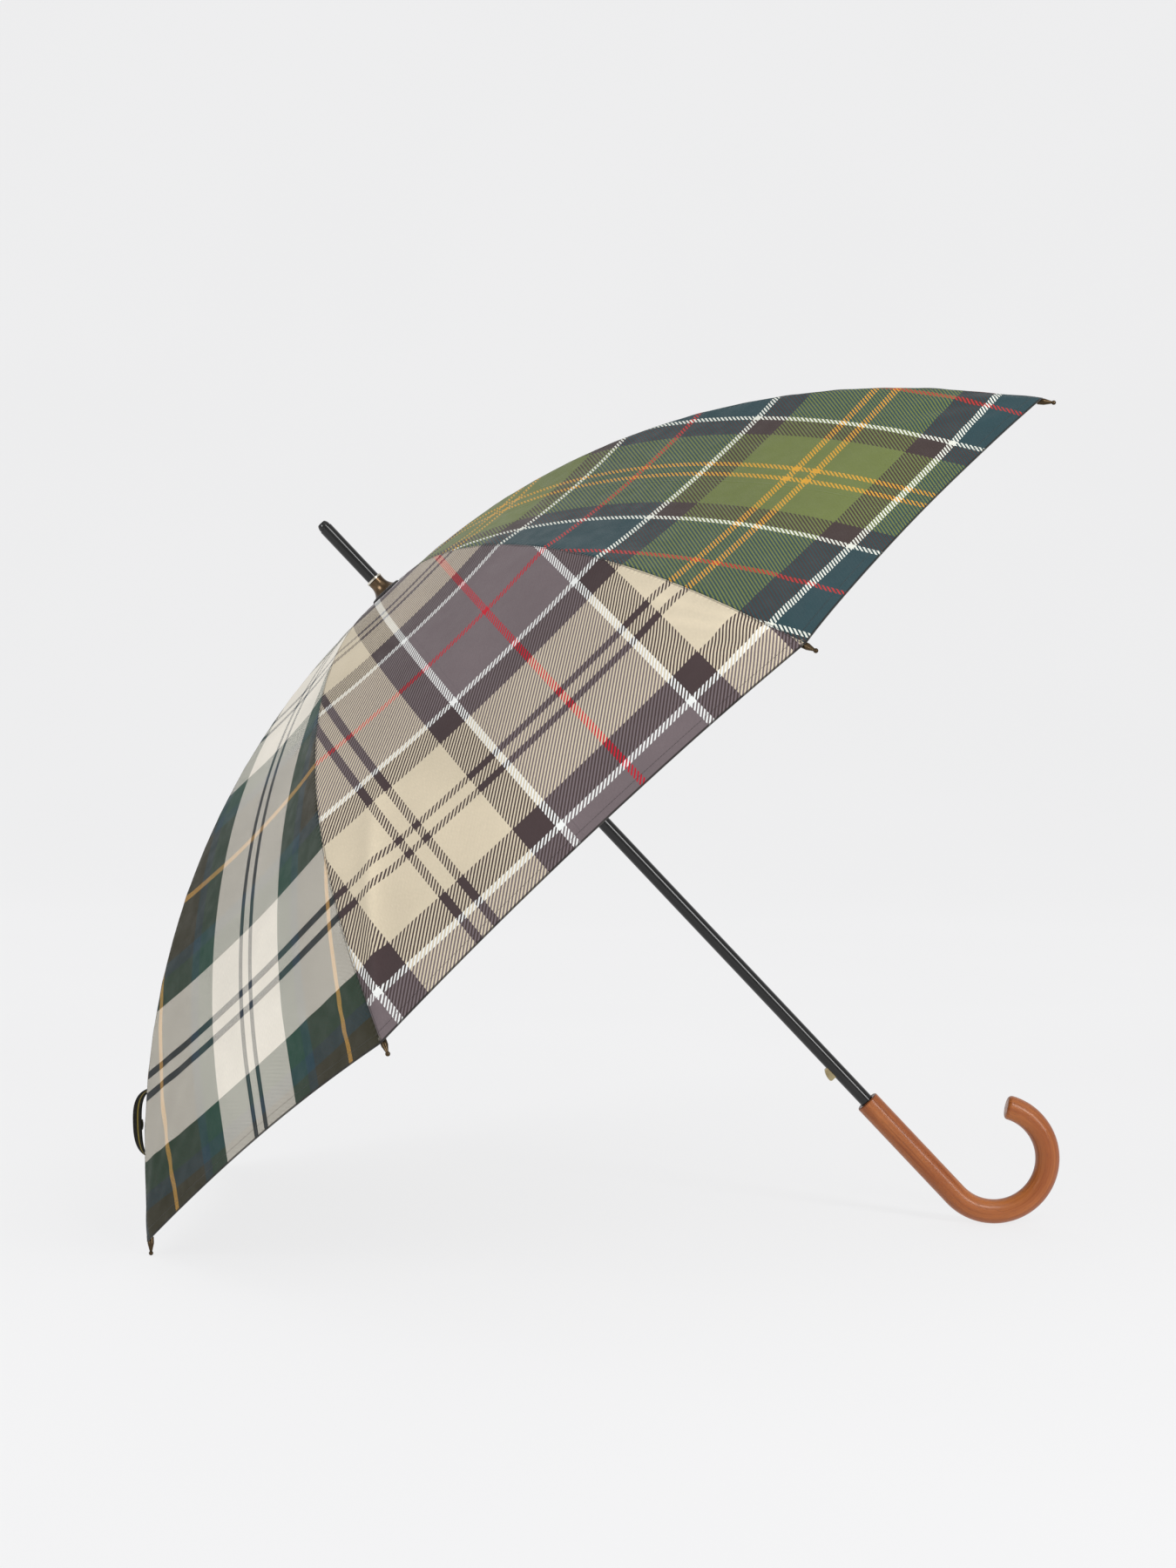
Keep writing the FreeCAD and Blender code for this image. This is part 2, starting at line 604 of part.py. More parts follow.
def onto_panel(shape):
    """Moves a piece made flat at the origin onto the panel beside the strap's rib."""
    half_step = math.radians(HALF_STEP)
    along = RIB_LENGTH - STRAP_ABOVE_TIP
    spot = rib_point(along, FABRIC_LIFT + FABRIC_THICKNESS + SOFT_GAP)
    across = spot.x * math.cos(half_step)
    side = across * math.tan(math.radians(HALF_STEP - STRAP_FROM_RIB))
    slope = math.radians(rib_slope(along))
    lean = math.degrees(math.atan2(math.sin(slope), math.cos(slope) * math.cos(half_step)))
    shape.rotate(Vector(), Y_AXIS, lean)
    shape.translate(Vector(across, side, spot.z))
    shape.rotate(Vector(), Z_AXIS, rib_angle(STRAP_RIB) - HALF_STEP)
    return shape


def make_strap():
    """Tape sewn to the canopy at both ends, standing off it as a flat loop."""
    outer = rounded_slab(STRAP_LOOP_LENGTH, STRAP_LOOP_DEPTH, STRAP_CORNER, STRAP_WIDTH)
    inner = rounded_slab(
        STRAP_LOOP_LENGTH - 2 * STRAP_THICKNESS,
        STRAP_LOOP_DEPTH - STRAP_THICKNESS,
        STRAP_CORNER - STRAP_THICKNESS,
        2 * STRAP_WIDTH,
    )
    reach = 2 * STRAP_LOOP_LENGTH
    below = block(Vector(-reach, -reach, -reach), Vector(reach, reach, STRAP_FOOT))
    return onto_panel(outer.cut([inner, below]))


def make_strap_popper():
    """Press stud on the inside of the strap."""
    top = STRAP_LOOP_DEPTH - STRAP_THICKNESS - PRESS_GAP
    stud = Part.makeCylinder(POPPER_RADIUS, POPPER_THICKNESS, Vector(0, 0, top - POPPER_THICKNESS))
    return onto_panel(stud)


# --- places that follow from the sizes above ------------------------------------------

FERRULE_SEAT = ROSETTE_TOP + 3.0
SPIGOT_BOTTOM = FERRULE_SEAT - 8.0
CUP_BOTTOM = ROSETTE_TOP
FERRULE_SHOULDER = CUP_BOTTOM + CUP_HEIGHT + NECK_RING_HEIGHT + SIDE_GAP
PIN_Z = (HUB_BOTTOM - WIRE_RADIUS) / 2
STOP_PIN_Z = -LINKAGE.runner + RUNNER_FLANGE_HALF + STOP_PIN_RADIUS + SEAT_GAP
BUTTON_Z = -HANDLE_TOP + BUTTON_FROM_HANDLE
RIB_CHANNEL_START = 6.5
RIB_END_SETBACK = TIP_LENGTH - 7.7
STRAP_FOOT = SEAT_GAP - STRAP_LOOP_LENGTH**2 / (8 * RIB_BEND_RADIUS)

BODY_PIECES = {
    "shaft_tube": make_shaft_tube,
    "top_notch": make_top_notch,
    "notch_wire": make_notch_wire,
    "notch_pin": make_notch_pin,
    "stop_pin": make_stop_pin,
    "rosette": make_rosette,
    "ferrule_cup": make_ferrule_cup,
    "cup_ring": make_cup_ring,
    "ferrule": make_ferrule,
    "ferrule_tip": make_ferrule_tip,
    "handle_crook": make_handle_crook,
    "runner": make_runner,
    "release_button": make_release_button,
    "button_spring": make_button_spring,
    "strap": make_strap,
    "strap_popper": make_strap_popper,
}
RIB_PIECES = {
    "rib": make_rib,
    "rib_tip": make_rib_tip,
    "rib_joint": make_rib_joint,
    "stretcher": make_stretcher,
    "canopy_gore": make_canopy_gore,
}


def make_all() -> dict:
    """Every piece about the shaft's own axis, by node name."""
    pieces = {name: make() for name, make in BODY_PIECES.items()}
    for name, make in RIB_PIECES.items():
        pattern = make()
        for k in range(1, RIB_COUNT + 1):
            pieces[f"{name}_{k}"] = turned(pattern, rib_angle(k))
    return pieces


def stand(pieces: dict) -> FreeCAD.Placement:
    """Tilts every piece into the resting pose and centres the whole on its base."""
    lean = FreeCAD.Placement(Vector(), FreeCAD.Rotation(Y_AXIS, resting_tilt() - 90))
    for piece in pieces.values():
        piece.Placement = lean.multiply(piece.Placement)
    whole = Part.makeCompound(list(pieces.values()))
    box = whole.optimalBoundingBox(False, False)
    tip = lean.multVec(turned(Part.Vertex(rib_point(RIB_LENGTH)), rib_angle(4)).Point)
    shift = Vector(-box.Center.x, 0, TIP_BALL_RADIUS - tip.z)
    for piece in pieces.values():
        piece.translate(shift)
    return FreeCAD.Placement(shift, lean.Rotation)


def main() -> None:
    """Builds the umbrella and writes one STEP file for each node."""
    os.makedirs("parts", exist_ok=True)
    pieces = make_all()
    place = stand(pieces)
    for name, piece in sorted(pieces.items()):
        piece.exportStep(f"parts/{name}.step")
        solids = len(piece.Solids)
        print(f"{name}: {solids} solid, {piece.Volume:.1f} mm3, valid {piece.isValid()}")
    print(f"shaft slope {resting_tilt():.2f}, crown at {place.Base}")
    print(f"fold {LINKAGE.fold:.3f}, stretcher {LINKAGE.length:.3f}, runner {LINKAGE.runner:.3f}")
    print(f"runner travel {LINKAGE.travel:.3f}")


if __name__ == "__main__":
    main()
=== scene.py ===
"""Stick umbrella with eight ribs: its cloth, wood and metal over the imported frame.

Lengths are metres. The umbrella's own axes are x towards the curl of the crook, y across it
and z along the shaft to the ferrule, with the rib pivots at z = 0. Panels lie between one
rib and the next, and each gore is the cloth that one rib carries.
"""
import json
import logging
import math
from dataclasses import dataclass, field
from enum import Enum
from typing import Any, Mapping, Sequence

import bpy
import numpy as np
from mathutils import Matrix, Vector


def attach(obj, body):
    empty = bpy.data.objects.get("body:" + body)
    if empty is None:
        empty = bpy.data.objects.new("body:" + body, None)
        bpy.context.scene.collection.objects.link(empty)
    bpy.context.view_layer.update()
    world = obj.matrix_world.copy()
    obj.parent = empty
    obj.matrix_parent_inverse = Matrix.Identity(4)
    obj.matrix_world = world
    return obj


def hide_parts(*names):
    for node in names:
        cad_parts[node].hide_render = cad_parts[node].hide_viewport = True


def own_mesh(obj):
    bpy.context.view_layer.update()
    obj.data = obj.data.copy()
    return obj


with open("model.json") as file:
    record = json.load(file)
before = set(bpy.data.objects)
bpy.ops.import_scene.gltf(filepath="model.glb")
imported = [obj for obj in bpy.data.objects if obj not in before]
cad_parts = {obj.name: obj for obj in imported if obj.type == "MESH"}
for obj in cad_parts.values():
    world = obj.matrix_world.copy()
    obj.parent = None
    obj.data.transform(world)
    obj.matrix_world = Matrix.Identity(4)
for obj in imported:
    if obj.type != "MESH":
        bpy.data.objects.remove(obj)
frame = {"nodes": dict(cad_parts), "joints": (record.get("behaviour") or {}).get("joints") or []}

LOG = logging.getLogger("umbrella")
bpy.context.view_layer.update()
RIBS = 8
HALF_STEP = math.pi / RIBS
MM = 0.001


def tint(red: int, green: int, blue: int) -> tuple[float, float, float, float]:
    """A display colour, 0 to 255, as the linear colour that shaders use.

    Args:
        red, green, blue: the colour as a screen shows it.

    Returns:
        Linear red, green, blue and an alpha of one.
    """
    linear = [((c / 255 + 0.055) / 1.055) ** 2.4 if c > 10 else c / 255 / 12.92
              for c in (red, green, blue)]
    return (*linear, 1.0)


# --- the umbrella's own axes ---


@dataclass(frozen=True)
class OwnAxes:
    """The shaft's axes as they stand in the frame, found from the eight rib hinges."""

    crown: np.ndarray
    x: np.ndarray
    y: np.ndarray
    z: np.ndarray
    pivots: np.ndarray
    hinges: np.ndarray

    @classmethod
    def from_joints(cls, joints: Sequence[Mapping[str, Any]]) -> "OwnAxes":
        """Centre and axes of the ring that the rib hinges stand on.

        Args:
            joints: the record's joints.

        Returns:
            The axes, with each hinge's place and direction.
        """
        named = {j["name"]: j for j in joints}
        ribs = [named[f"rib_{k}_fold"] for k in range(1, RIBS + 1)]
        pivots = np.array([j["pos_m"] for j in ribs], float)
        hinges = np.array([j["axis"] for j in ribs], float)
        crown = pivots.mean(0)
        x = pivots[0] + pivots[7] - 2 * crown
        x /= np.linalg.norm(x)
        z = np.cross(pivots[1] - crown, pivots[0] - crown)
        z /= np.linalg.norm(z)
        return cls(crown, x, np.cross(z, x), z, pivots, hinges)

    def place(self, own: np.ndarray) -> np.ndarray:
        """Points on the umbrella's own axes, moved to where they stand in the frame."""
        turn = np.stack([self.x, self.y, self.z])
        return self.crown + own @ turn


AXES = OwnAxes.from_joints(frame["joints"])


def rib_angle(number: int) -> float:
    """Angle of a rib about the shaft; rib 1 is high on the front side, 4 and 5 are lowest."""
    return 2 * math.pi + HALF_STEP - 2 * HALF_STEP * number


def about_shaft(points: np.ndarray, angle: float) -> np.ndarray:
    """Points turned about the shaft.

    Args:
        points: places on the umbrella's own axes.
        angle: the turn, from x towards y.

    Returns:
        The turned places.
    """
    c, s = math.cos(angle), math.sin(angle)
    x, y, z = points[..., 0], points[..., 1], points[..., 2]
    return np.stack([c * x - s * y, s * x + c * y, z], -1)


def smooth_step(value: np.ndarray, low: float, high: float) -> np.ndarray:
    """0 below low, 1 above high and an even S-curve, 3t^2 - 2t^3, between them."""
    t = np.clip((value - low) / (high - low), 0, 1)
    return t * t * (3 - 2 * t)


def full_turn(steps: int) -> np.ndarray:
    """Angles right round a circle, with the first place again at the end."""
    return np.linspace(0, 2 * math.pi, steps + 1)


def grid(*parts: np.ndarray) -> np.ndarray:
    """Arrays spread over one grid and set side by side as its last axis."""
    return np.stack(np.broadcast_arrays(*parts), -1)


def put(name: str, data: Any, columns: Sequence[Any] = ()) -> bpy.types.Object:
    """A new object in the scene.

    Args:
        name: the object's name.
        data: its mesh, light or camera.
        columns: its own x, y and z directions and its place, where it is moved.

    Returns:
        The object.
    """
    made = bpy.data.objects.new(name, data)
    if columns:
        rows = np.stack(columns, 1).tolist()
        made.matrix_world = Matrix([*rows, [0, 0, 0, 1]])
    bpy.context.scene.collection.objects.link(made)
    return made


# --- meshes worked out on grids ---


@dataclass
class Patch:
    """A grid of points with its maps: one part of a piece's skin."""

    points: np.ndarray
    maps: dict[str, np.ndarray] = field(default_factory=dict)
    material: int = 0
    group: int = 0


def ring_of(radius: np.ndarray, height: np.ndarray, around: int) -> np.ndarray:
    """Surface of revolution: each (radius, height) of the profile carried once round z.

    Args:
        radius, height: the profile, point by point.
        around: how many steps go round.

    Returns:
        The grid of points.
    """
    turn = full_turn(around)
    x, y = radius[:, None] * np.cos(turn), radius[:, None] * np.sin(turn)
    return grid(x, y, height[:, None])


def make_piece(
    name: str, patches: Sequence[Patch], materials: Sequence[bpy.types.Material]
) -> bpy.types.Object:
    """One mesh object from grids whose shared borders are merged.

    Args:
        name: the piece's name.
        patches: the grids, all turned the same way; a whole inside-out shell is turned back.
        materials: the finishes that the patches' material numbers mean.

    Returns:
        The object, smooth except where two groups meet, standing in the frame.
    """
    points, quads, finish, group = [], [], [], []
    start = 0
    names = sorted({m for patch in patches for m in patch.maps})
    maps = {m: [] for m in names}
    for patch in patches:
        rows, cols = patch.points.shape[:2]
        index = start + np.arange(rows * cols).reshape(rows, cols)
        corners = [index[:-1, :-1], index[1:, :-1], index[1:, 1:], index[:-1, 1:]]
        quads.append(np.stack(corners, -1).reshape(-1, 4))
        points.append(patch.points.reshape(-1, 3))
        for m in names:
            maps[m].append(patch.maps[m].reshape(-1, 2))
        finish.append(np.full(len(quads[-1]), patch.material))
        group.append(np.full(len(quads[-1]), patch.group))
        start += rows * cols
    where, quad = np.concatenate(points), np.concatenate(quads)
    first, inverse = np.unique(np.round(where, 7), axis=0, return_index=True,
                               return_inverse=True)[1:]
    vertices = AXES.place(where[first])
    corner = inverse.reshape(-1)[quad]
    keep = corner != np.roll(corner, 1, axis=1)
    whole = keep.sum(1) >= 3
    keep, corner, quad = keep[whole], corner[whole], quad[whole]
    finish, group = np.concatenate(finish)[whole], np.concatenate(group)[whole]
    a, b, c, d = (vertices[corner[:, i]] - vertices.mean(0) for i in range(4))
    volume = np.sum(a * np.cross(b, c)) + np.sum(a * np.cross(c, d))
    if volume < 0:
        keep, corner, quad = keep[:, ::-1], corner[:, ::-1], quad[:, ::-1]
    counts = keep.sum(1)
    loops, sources = corner[keep], quad[keep]

    mesh = bpy.data.meshes.new(name)
    mesh.vertices.add(len(vertices))
    mesh.vertices.foreach_set("co", vertices.astype(np.float32).ravel())
    mesh.loops.add(len(loops))
    mesh.loops.foreach_set("vertex_index", loops.astype(np.int32))
    mesh.polygons.add(len(counts))
    mesh.polygons.foreach_set("loop_start", np.concatenate([[0], counts.cumsum()[:-1]]))
    mesh.polygons.foreach_set("material_index", finish.astype(np.int32))
    mesh.update(calc_edges=True)
    for m in names:
        layer = mesh.uv_layers.new(name=m)
        layer.data.foreach_set("uv", np.concatenate(maps[m])[sources].astype(np.float32).ravel())
    edges = np.empty(len(loops), np.int32)
    mesh.loops.foreach_get("edge_index", edges)
    of_loop = np.repeat(group, counts)
    low, high = np.full(len(mesh.edges), 1 << 20), np.full(len(mesh.edges), -1)
    np.minimum.at(low, edges, of_loop)
    np.maximum.at(high, edges, of_loop)
    sharp = mesh.attributes.new("sharp_edge", "BOOLEAN", "EDGE")
    sharp.data.foreach_set("value", low != high)
    mesh.polygons.foreach_set("use_smooth", np.ones(len(counts), bool))
    for material in materials:
        mesh.materials.append(material)
    mesh.validate()
    return put(name, mesh)


def sheet_patches(
    over: np.ndarray, under: np.ndarray, maps: dict[str, np.ndarray], material: int = 0,
    edging: int = 0,
) -> list[Patch]:
    """A thin closed sheet from its two faces: both faces and the four narrow edges.

    Args:
        over, under: grids of the upper and lower face, the same size.
        maps: map values on that grid.
        material: finish of the faces.
        edging: finish of the edge at the last row.

    Returns:
        Patches that close on each other.
    """
    patches = [Patch(over, maps, material, 0)]
    back = {m: v[:, ::-1] for m, v in maps.items()}
    patches.append(Patch(under[:, ::-1], back, material, 1))
    whole = slice(None)
    sides = [(whole, 0, 1), (-1, whole, 1), (whole, -1, -1), (0, whole, -1)]
    for number, (row, col, way) in enumerate(sides):
        strip = np.stack([over[row, col][::way], under[row, col][::way]])
        strip_maps = {m: np.stack([v[row, col][::way]] * 2) for m, v in maps.items()}
        patches.append(Patch(strip, strip_maps, edging if number == 1 else material, 2 + number))
    return patches


# --- finishes ---


class Signal:
    """One value on its way through a material, so that shader sums read as sums."""

    def __init__(self, dressing: "Dressing", socket: bpy.types.NodeSocket) -> None:
        """Wraps one output socket of a dressing."""
        self.dressing, self.socket = dressing, socket

    def _math(self, operation: str, *others: "Signal | float") -> "Signal":
        """A Math node on this value and the others, in this order."""
        inputs = dict(enumerate((self, *others)))
        return self.dressing.value("ShaderNodeMath", {"operation": operation}, inputs)

    def __add__(self, other: "Signal | float") -> "Signal":
        """Sum."""
        return self._math("ADD", other)

    def __sub__(self, other: "Signal | float") -> "Signal":
        """Difference."""
        return self._math("SUBTRACT", other)

    def __mul__(self, other: "Signal | float") -> "Signal":
        """Product."""
        return self._math("MULTIPLY", other)

    def __gt__(self, other: "Signal | float") -> "Signal":
        """1 where this is above the other, else 0."""
        return self._math("GREATER_THAN", other)

    def __lt__(self, other: "Signal | float") -> "Signal":
        """1 where this is below the other, else 0."""
        return self._math("LESS_THAN", other)

    def repeat(self, length: float) -> "Signal":
        """0 to 1 over each length, again and again."""
        return (self * (1 / length))._math("FRACT")

    def sine(self) -> "Signal":
        """Sine of the value in radians."""
        return self._math("SINE")

    def wave(self, length: float) -> "Signal":
        """Sine wave, -1 to 1, with one whole wave in each length."""
        return (self * (2 * math.pi / length)).sine()

    def size(self) -> "Signal":
        """Value without its sign."""
        return self._math("ABSOLUTE")

    def line(self, at: float, near: float, far: float, strength: float = 1.0) -> "Signal":
        """A soft-edged line where the value is at: full strength within near, none past far."""
        return (self - at).size().ramp(near, far, strength, 0.0)

    def folded(self, span: float) -> "Signal":
        """The value mirrored to and fro between 0 and span."""
        return self._math("PINGPONG", span)

    def ramp(self, low: float, high: float, first: float = 0.0, last: float = 1.0) -> "Signal":
        """Smooth change from first at low to last at high."""
        settings = {"interpolation_type": "SMOOTHSTEP"}
        inputs = {"Value": self, "From Min": low, "From Max": high, "To Min": first, "To Max": last}
        return self.dressing.value("ShaderNodeMapRange", settings, inputs)


class Dressing:
    """A material being made: one shader and the nodes that feed it."""

    def __init__(self, name: str) -> None:
        """Starts a material with a bare surface shader."""
        self.material = bpy.data.materials.new(name)
        self.material.use_nodes = True
        self.tree = self.material.node_tree
        self.tree.nodes.clear()
        self.shader = self.tree.nodes.new("ShaderNodeBsdfPrincipled")
        output = self.tree.nodes.new("ShaderNodeOutputMaterial")
        self.tree.links.new(self.shader.outputs[0], output.inputs["Surface"])

    def node(
        self, kind: str, settings: Mapping[str, Any], inputs: Mapping[Any, Any]
    ) -> bpy.types.Node:
        """A node of a kind, set and wired.

        Args:
            kind: the node's type name.
            settings: properties to set on it.
            inputs: what each input gets, a signal or a constant.

        Returns:
            The node.
        """
        made = self.tree.nodes.new(kind)
        for name, value in settings.items():
            setattr(made, name, value)
        for name, value in inputs.items():
            self.feed(made.inputs[name], value)
        return made

    def feed(self, socket: bpy.types.NodeSocket, value: Any) -> None:
        """Wires a signal into a socket, or sets the socket to a constant.

        Args:
            socket: the input to feed.
            value: the signal or the constant.
        """
        if isinstance(value, Signal):
            self.tree.links.new(value.socket, socket)
        else:
            socket.default_value = value

    def value(
        self, kind: str, settings: Mapping[str, Any], inputs: Mapping[Any, Any],
        output: int | str = 0,
    ) -> Signal:
        """The signal that a new node of a kind gives."""
        return Signal(self, self.node(kind, settings, inputs).outputs[output])

    def map(self, name: str) -> tuple[Signal, Signal]:
        """The two numbers of one of the piece's own maps, in metres.

        Args:
            name: the map's name.

        Returns:
            Both numbers, as signals.
        """
        point = self.value("ShaderNodeUVMap", {"uv_map": name}, {})
        split = self.node("ShaderNodeSeparateXYZ", {}, {0: point})
        return Signal(self, split.outputs[0]), Signal(self, split.outputs[1])

    def place(self) -> Signal:
        """The point's place on the object, in metres."""
        return self.value("ShaderNodeTexCoord", {}, {}, "Object")

    def vector(self, x: Signal | float, y: Signal | float, z: Signal | float = 0.0) -> Signal:
        """Three numbers as one vector."""
        return self.value("ShaderNodeCombineXYZ", {}, {0: x, 1: y, 2: z})

    def noise(self, where: Signal, scale: float, detail: float = 2.0) -> Signal:
        """Soft noise about one half, scale features a metre."""
        inputs = {"Vector": where, "Scale": scale, "Detail": detail, "Roughness": 0.55}
        return self.value("ShaderNodeTexNoise", {}, inputs, "Fac")

    def stripes(self, where: Signal, span: float, bands: Sequence[tuple[float, tuple]]) -> Signal:
        """Hard-edged bands of colour.

        Args:
            where: distance, from 0 to span.
            span: length of the whole set.
            bands: where each band starts, in millimetres, and its colour.

        Returns:
            The colour at that distance.
        """
        made = self.node("ShaderNodeValToRGB", {}, {"Fac": where * (1 / span)})
        made.color_ramp.interpolation = "CONSTANT"
        marks = made.color_ramp.elements
        for number, (start, colour) in enumerate(bands):
            at = min(start * MM / span, 0.999)
            mark = marks[number] if number < 2 else marks.new(at)
            mark.position, mark.color = at, colour
        return Signal(self, made.outputs["Color"])

    def blend(self, share: Signal | float, first: Any, second: Any, how: str = "MIX") -> Signal:
        """Two colours mixed.

        Args:
            share: 0 for the first colour, 1 for the second.
            first, second: the colours.
            how: the blend's name.

        Returns:
            The mixed colour.
        """
        settings = {"data_type": "RGBA", "blend_type": how}
        inputs = {0: share, 6: first, 7: second}
        return Signal(self, self.node("ShaderNodeMix", settings, inputs).outputs[2])

    def shaded(self, colour: Any, by: Signal) -> Signal:
        """A colour made darker or lighter: all three of its numbers times a value."""
        return self.blend(1.0, colour, self.vector(by, by, by), "MULTIPLY")

    def bump(self, height: Signal, depth: float, under: Signal | None = None) -> Signal:
        """Surface relief.

        Args:
            height: 0 for the low places, 1 for the high ones.
            depth: how far apart those are.
            under: relief that is already there.

        Returns:
            The surface's direction.
        """
        inputs: dict[str, Any] = {"Strength": 1.0, "Distance": depth, "Height": height}
        if under is not None:
            inputs["Normal"] = under
        return self.value("ShaderNodeBump", {}, inputs)

    def done(self, **sockets: Any) -> bpy.types.Material:
        """Feeds the shader and gives the material.

        Args:
            **sockets: what each socket gets, its name with _ for a space.

        Returns:
            The finished material.
        """
        for name, value in sockets.items():
            self.feed(self.shader.inputs[name.replace("_", " ")], value)
        return self.material


class Plaid(Enum):
    """The four tartans that the panels are cut from."""

    CREAM = "cream_and_green"
    BEIGE = "beige_and_mauve"
    OLIVE = "olive_and_teal"
    DARK = "dark_olive_and_navy"


@dataclass(frozen=True)
class Tartan:
    """A woven check: twin lines, three grounds and a mirror line, the same in both ways.

    The set mirrors at distance 0, between the twin lines, and again at span, in the middle
    of the mirror line. Where warp and weft differ, slanting twill lines show both. Colours
    are as a screen shows them; starts, across, past, twill and span are millimetres.
    """

    plaid: Plaid
    across: float
    ground: tuple[int, int, int]
    twin: tuple[int, int, int]
    second: tuple[int, int, int]
    thin: tuple[int, int, int]
    third: tuple[int, int, int]
    line: tuple[int, int, int]
    starts: tuple[float, ...] = (0, 5.2, 11.2, 58.9, 83.8, 89.6, 146.8)
    past: float = 103.0
    twill: float = 3.8
    span: float = 150.3
    seam_line: float = 0.0009
    hem_stitch: float = 0.0026
    hem_width: float = 0.0085
    pucker: float = 0.0042
    # painted highlight: how much lighter the cloth is made along the fold creases
    crease_highlight_gain: float = 0.17

    def check(self, d: Dressing, u: Signal, v: Signal, slant: Signal) -> Signal:
        """The dyed pattern.

        Args:
            d: the material being made.
            u, v: place across and along the cloth.
            slant: 0 to 1 over each twill line.

        Returns:
            The colour, from the warp on one half of a twill line and the weft on the other.
        """
        span = self.span * MM
        colours = (self.ground, self.twin, self.ground, self.second, self.thin, self.third,
                   self.line)
        bands = [(start, tint(*colour)) for start, colour in zip(self.starts, colours)]
        warp = d.stripes((u - self.across * MM).folded(span), span, bands)
        weft = d.stripes((v + self.past * MM).folded(span), span, bands)
        return d.blend(slant > 0.5, warp, weft)

    def material(self) -> bpy.types.Material:
        """The cloth as a material on the maps 'weave', 'edges' and the painted crease-highlight
        map.

        Returns:
            The finished material.
        """
        d = Dressing(f"tartan_{self.plaid.value}")
        u, v = d.map("weave")
        seam, hem = d.map("edges")
        # painted highlight: 0 to 1 along each fold crease, from the crease map's first number
        crease = d.map("rubbed")[0]
        slant = (u + v).repeat(self.twill * MM)
        cloth = self.check(d, u, v, slant)
        where = d.vector(u, v)
        cloth = d.shaded(cloth, d.noise(where, 9.0, 3.0).ramp(0.3, 0.7, 0.93, 1.05))
        threads = d.vector(u * 2200.0, v * 260.0)
        cloth = d.shaded(cloth, d.noise(threads, 1.0, 1.0).ramp(0.3, 0.75, 0.95, 1.04))
        # painted highlight: the cloth's colour is made lighter along the fold creases, as if light
        # caught the folds
        cloth = d.shaded(cloth, crease * self.crease_highlight_gain + 1.0)
        stitched = seam.line(self.seam_line, 0.0, 0.0009, 0.55)
        cloth = d.blend(stitched, cloth, tint(20, 18, 16))
        cloth = d.blend(hem.ramp(0.0011, 0.0019, 0.85, 0.0), cloth, tint(24, 22, 18))
        tick = (u.repeat(self.hem_stitch) < 0.62) * hem.line(self.hem_width, 0.0, 0.0005, 0.6)
        cloth = d.blend(tick, cloth, tint(38, 36, 30))
        rib_weave = (slant - 0.5).size() * 2.0
        pair = (u * 9000.0).sine() * (v * 9000.0).sine()
        relief = d.bump(rib_weave * 0.7 + pair * 0.3, 0.00006)
        pucker = v.wave(self.pucker) * seam.ramp(0.001, 0.006, 1.0, 0.0)
        relief = d.bump(pucker, 0.00022, relief)
        relief = d.bump(hem.ramp(0.0078, 0.0088, 1.0, 0.0), 0.0004, relief)
        relief = d.bump(u.size().ramp(0.0, 0.0012, 1.0, 0.0), 0.00025, relief)
        dull = d.noise(where, 60.0, 3.0).ramp(0.3, 0.7, 0.50, 0.62)
        return d.done(Base_Color=cloth, Roughness=dull, Normal=relief, Sheen_Weight=0.03,
                      Sheen_Roughness=0.4, Specular_IOR_Level=0.22)


TARTANS = (
    Tartan(Plaid.BEIGE, -95.6, (196, 184, 161), (60, 47, 48), (60, 47, 48), (218, 220, 218),
           (104, 93, 96), (176, 8, 34)),
    Tartan(Plaid.OLIVE, 20.0, (98, 108, 58), (194, 144, 44), (58, 46, 44), (212, 214, 204),
           (34, 60, 66), (164, 42, 40)),
    Tartan(Plaid.CREAM, 7.0, (224, 218, 206), (20, 35, 50), (16, 58, 44), (16, 50, 62),
           (40, 37, 16), (190, 142, 60), (0, 5.2, 11.2, 58.9, 84.0, 97.0, 146.8), twill=1.9),
    Tartan(Plaid.DARK, -40.0, (62, 74, 40), (190, 146, 60), (28, 34, 44), (214, 214, 200),
           (30, 48, 58), (160, 40, 44)),
)


@dataclass(frozen=True)
class SatinWood:
    """Bent hardwood under satin varnish, its grain running along the piece."""

    name: str = "satin_wood"

    def material(self) -> bpy.types.Material:
        """The wood as a material on the map 'grain': along and around, in metres.

        Returns:
            The finished material.
        """
        d = Dressing(self.name)
        along, around = d.map("grain")
        where = d.place()
        sway = d.noise(where, 9.0, 2.0) * 0.006
        lines = d.noise(d.vector(along * 9.0, (around + sway) * 420.0), 1.0, 4.0)
        figure = d.noise(d.vector(along * 4.0, (around + sway) * 90.0), 1.0, 3.0)
        pores = d.noise(d.vector(along * 160.0, around * 2600.0), 1.0, 1.0)
        wood = d.blend(figure.ramp(0.32, 0.68), tint(146, 78, 36), tint(176, 106, 56))
        wood = d.blend(lines.ramp(0.48, 0.72, 0.0, 0.55), wood, tint(112, 52, 20))
        wood = d.blend(pores.ramp(0.60, 0.72, 0.0, 0.45), wood, tint(84, 42, 22))
        patch = d.noise(where, 22.0, 2.0).ramp(0.35, 0.75, 0.0, 0.35)
        wood = d.blend(patch, wood, tint(134, 66, 26))
        ends = along.ramp(0.0, 0.0014, 0.75, 0.0)
        wood = d.blend(ends, wood, tint(96, 52, 28))
        relief = d.bump(pores.ramp(0.5, 0.75, 1.0, 0.0) + lines * 0.4, 0.00008)
        wear = d.noise(where, 70.0, 3.0).ramp(0.3, 0.7, 0.30, 0.42)
        return d.done(Base_Color=wood, Roughness=wear, Normal=relief, Coat_Weight=0.25,
                      Coat_Roughness=0.16, Specular_IOR_Level=0.25)


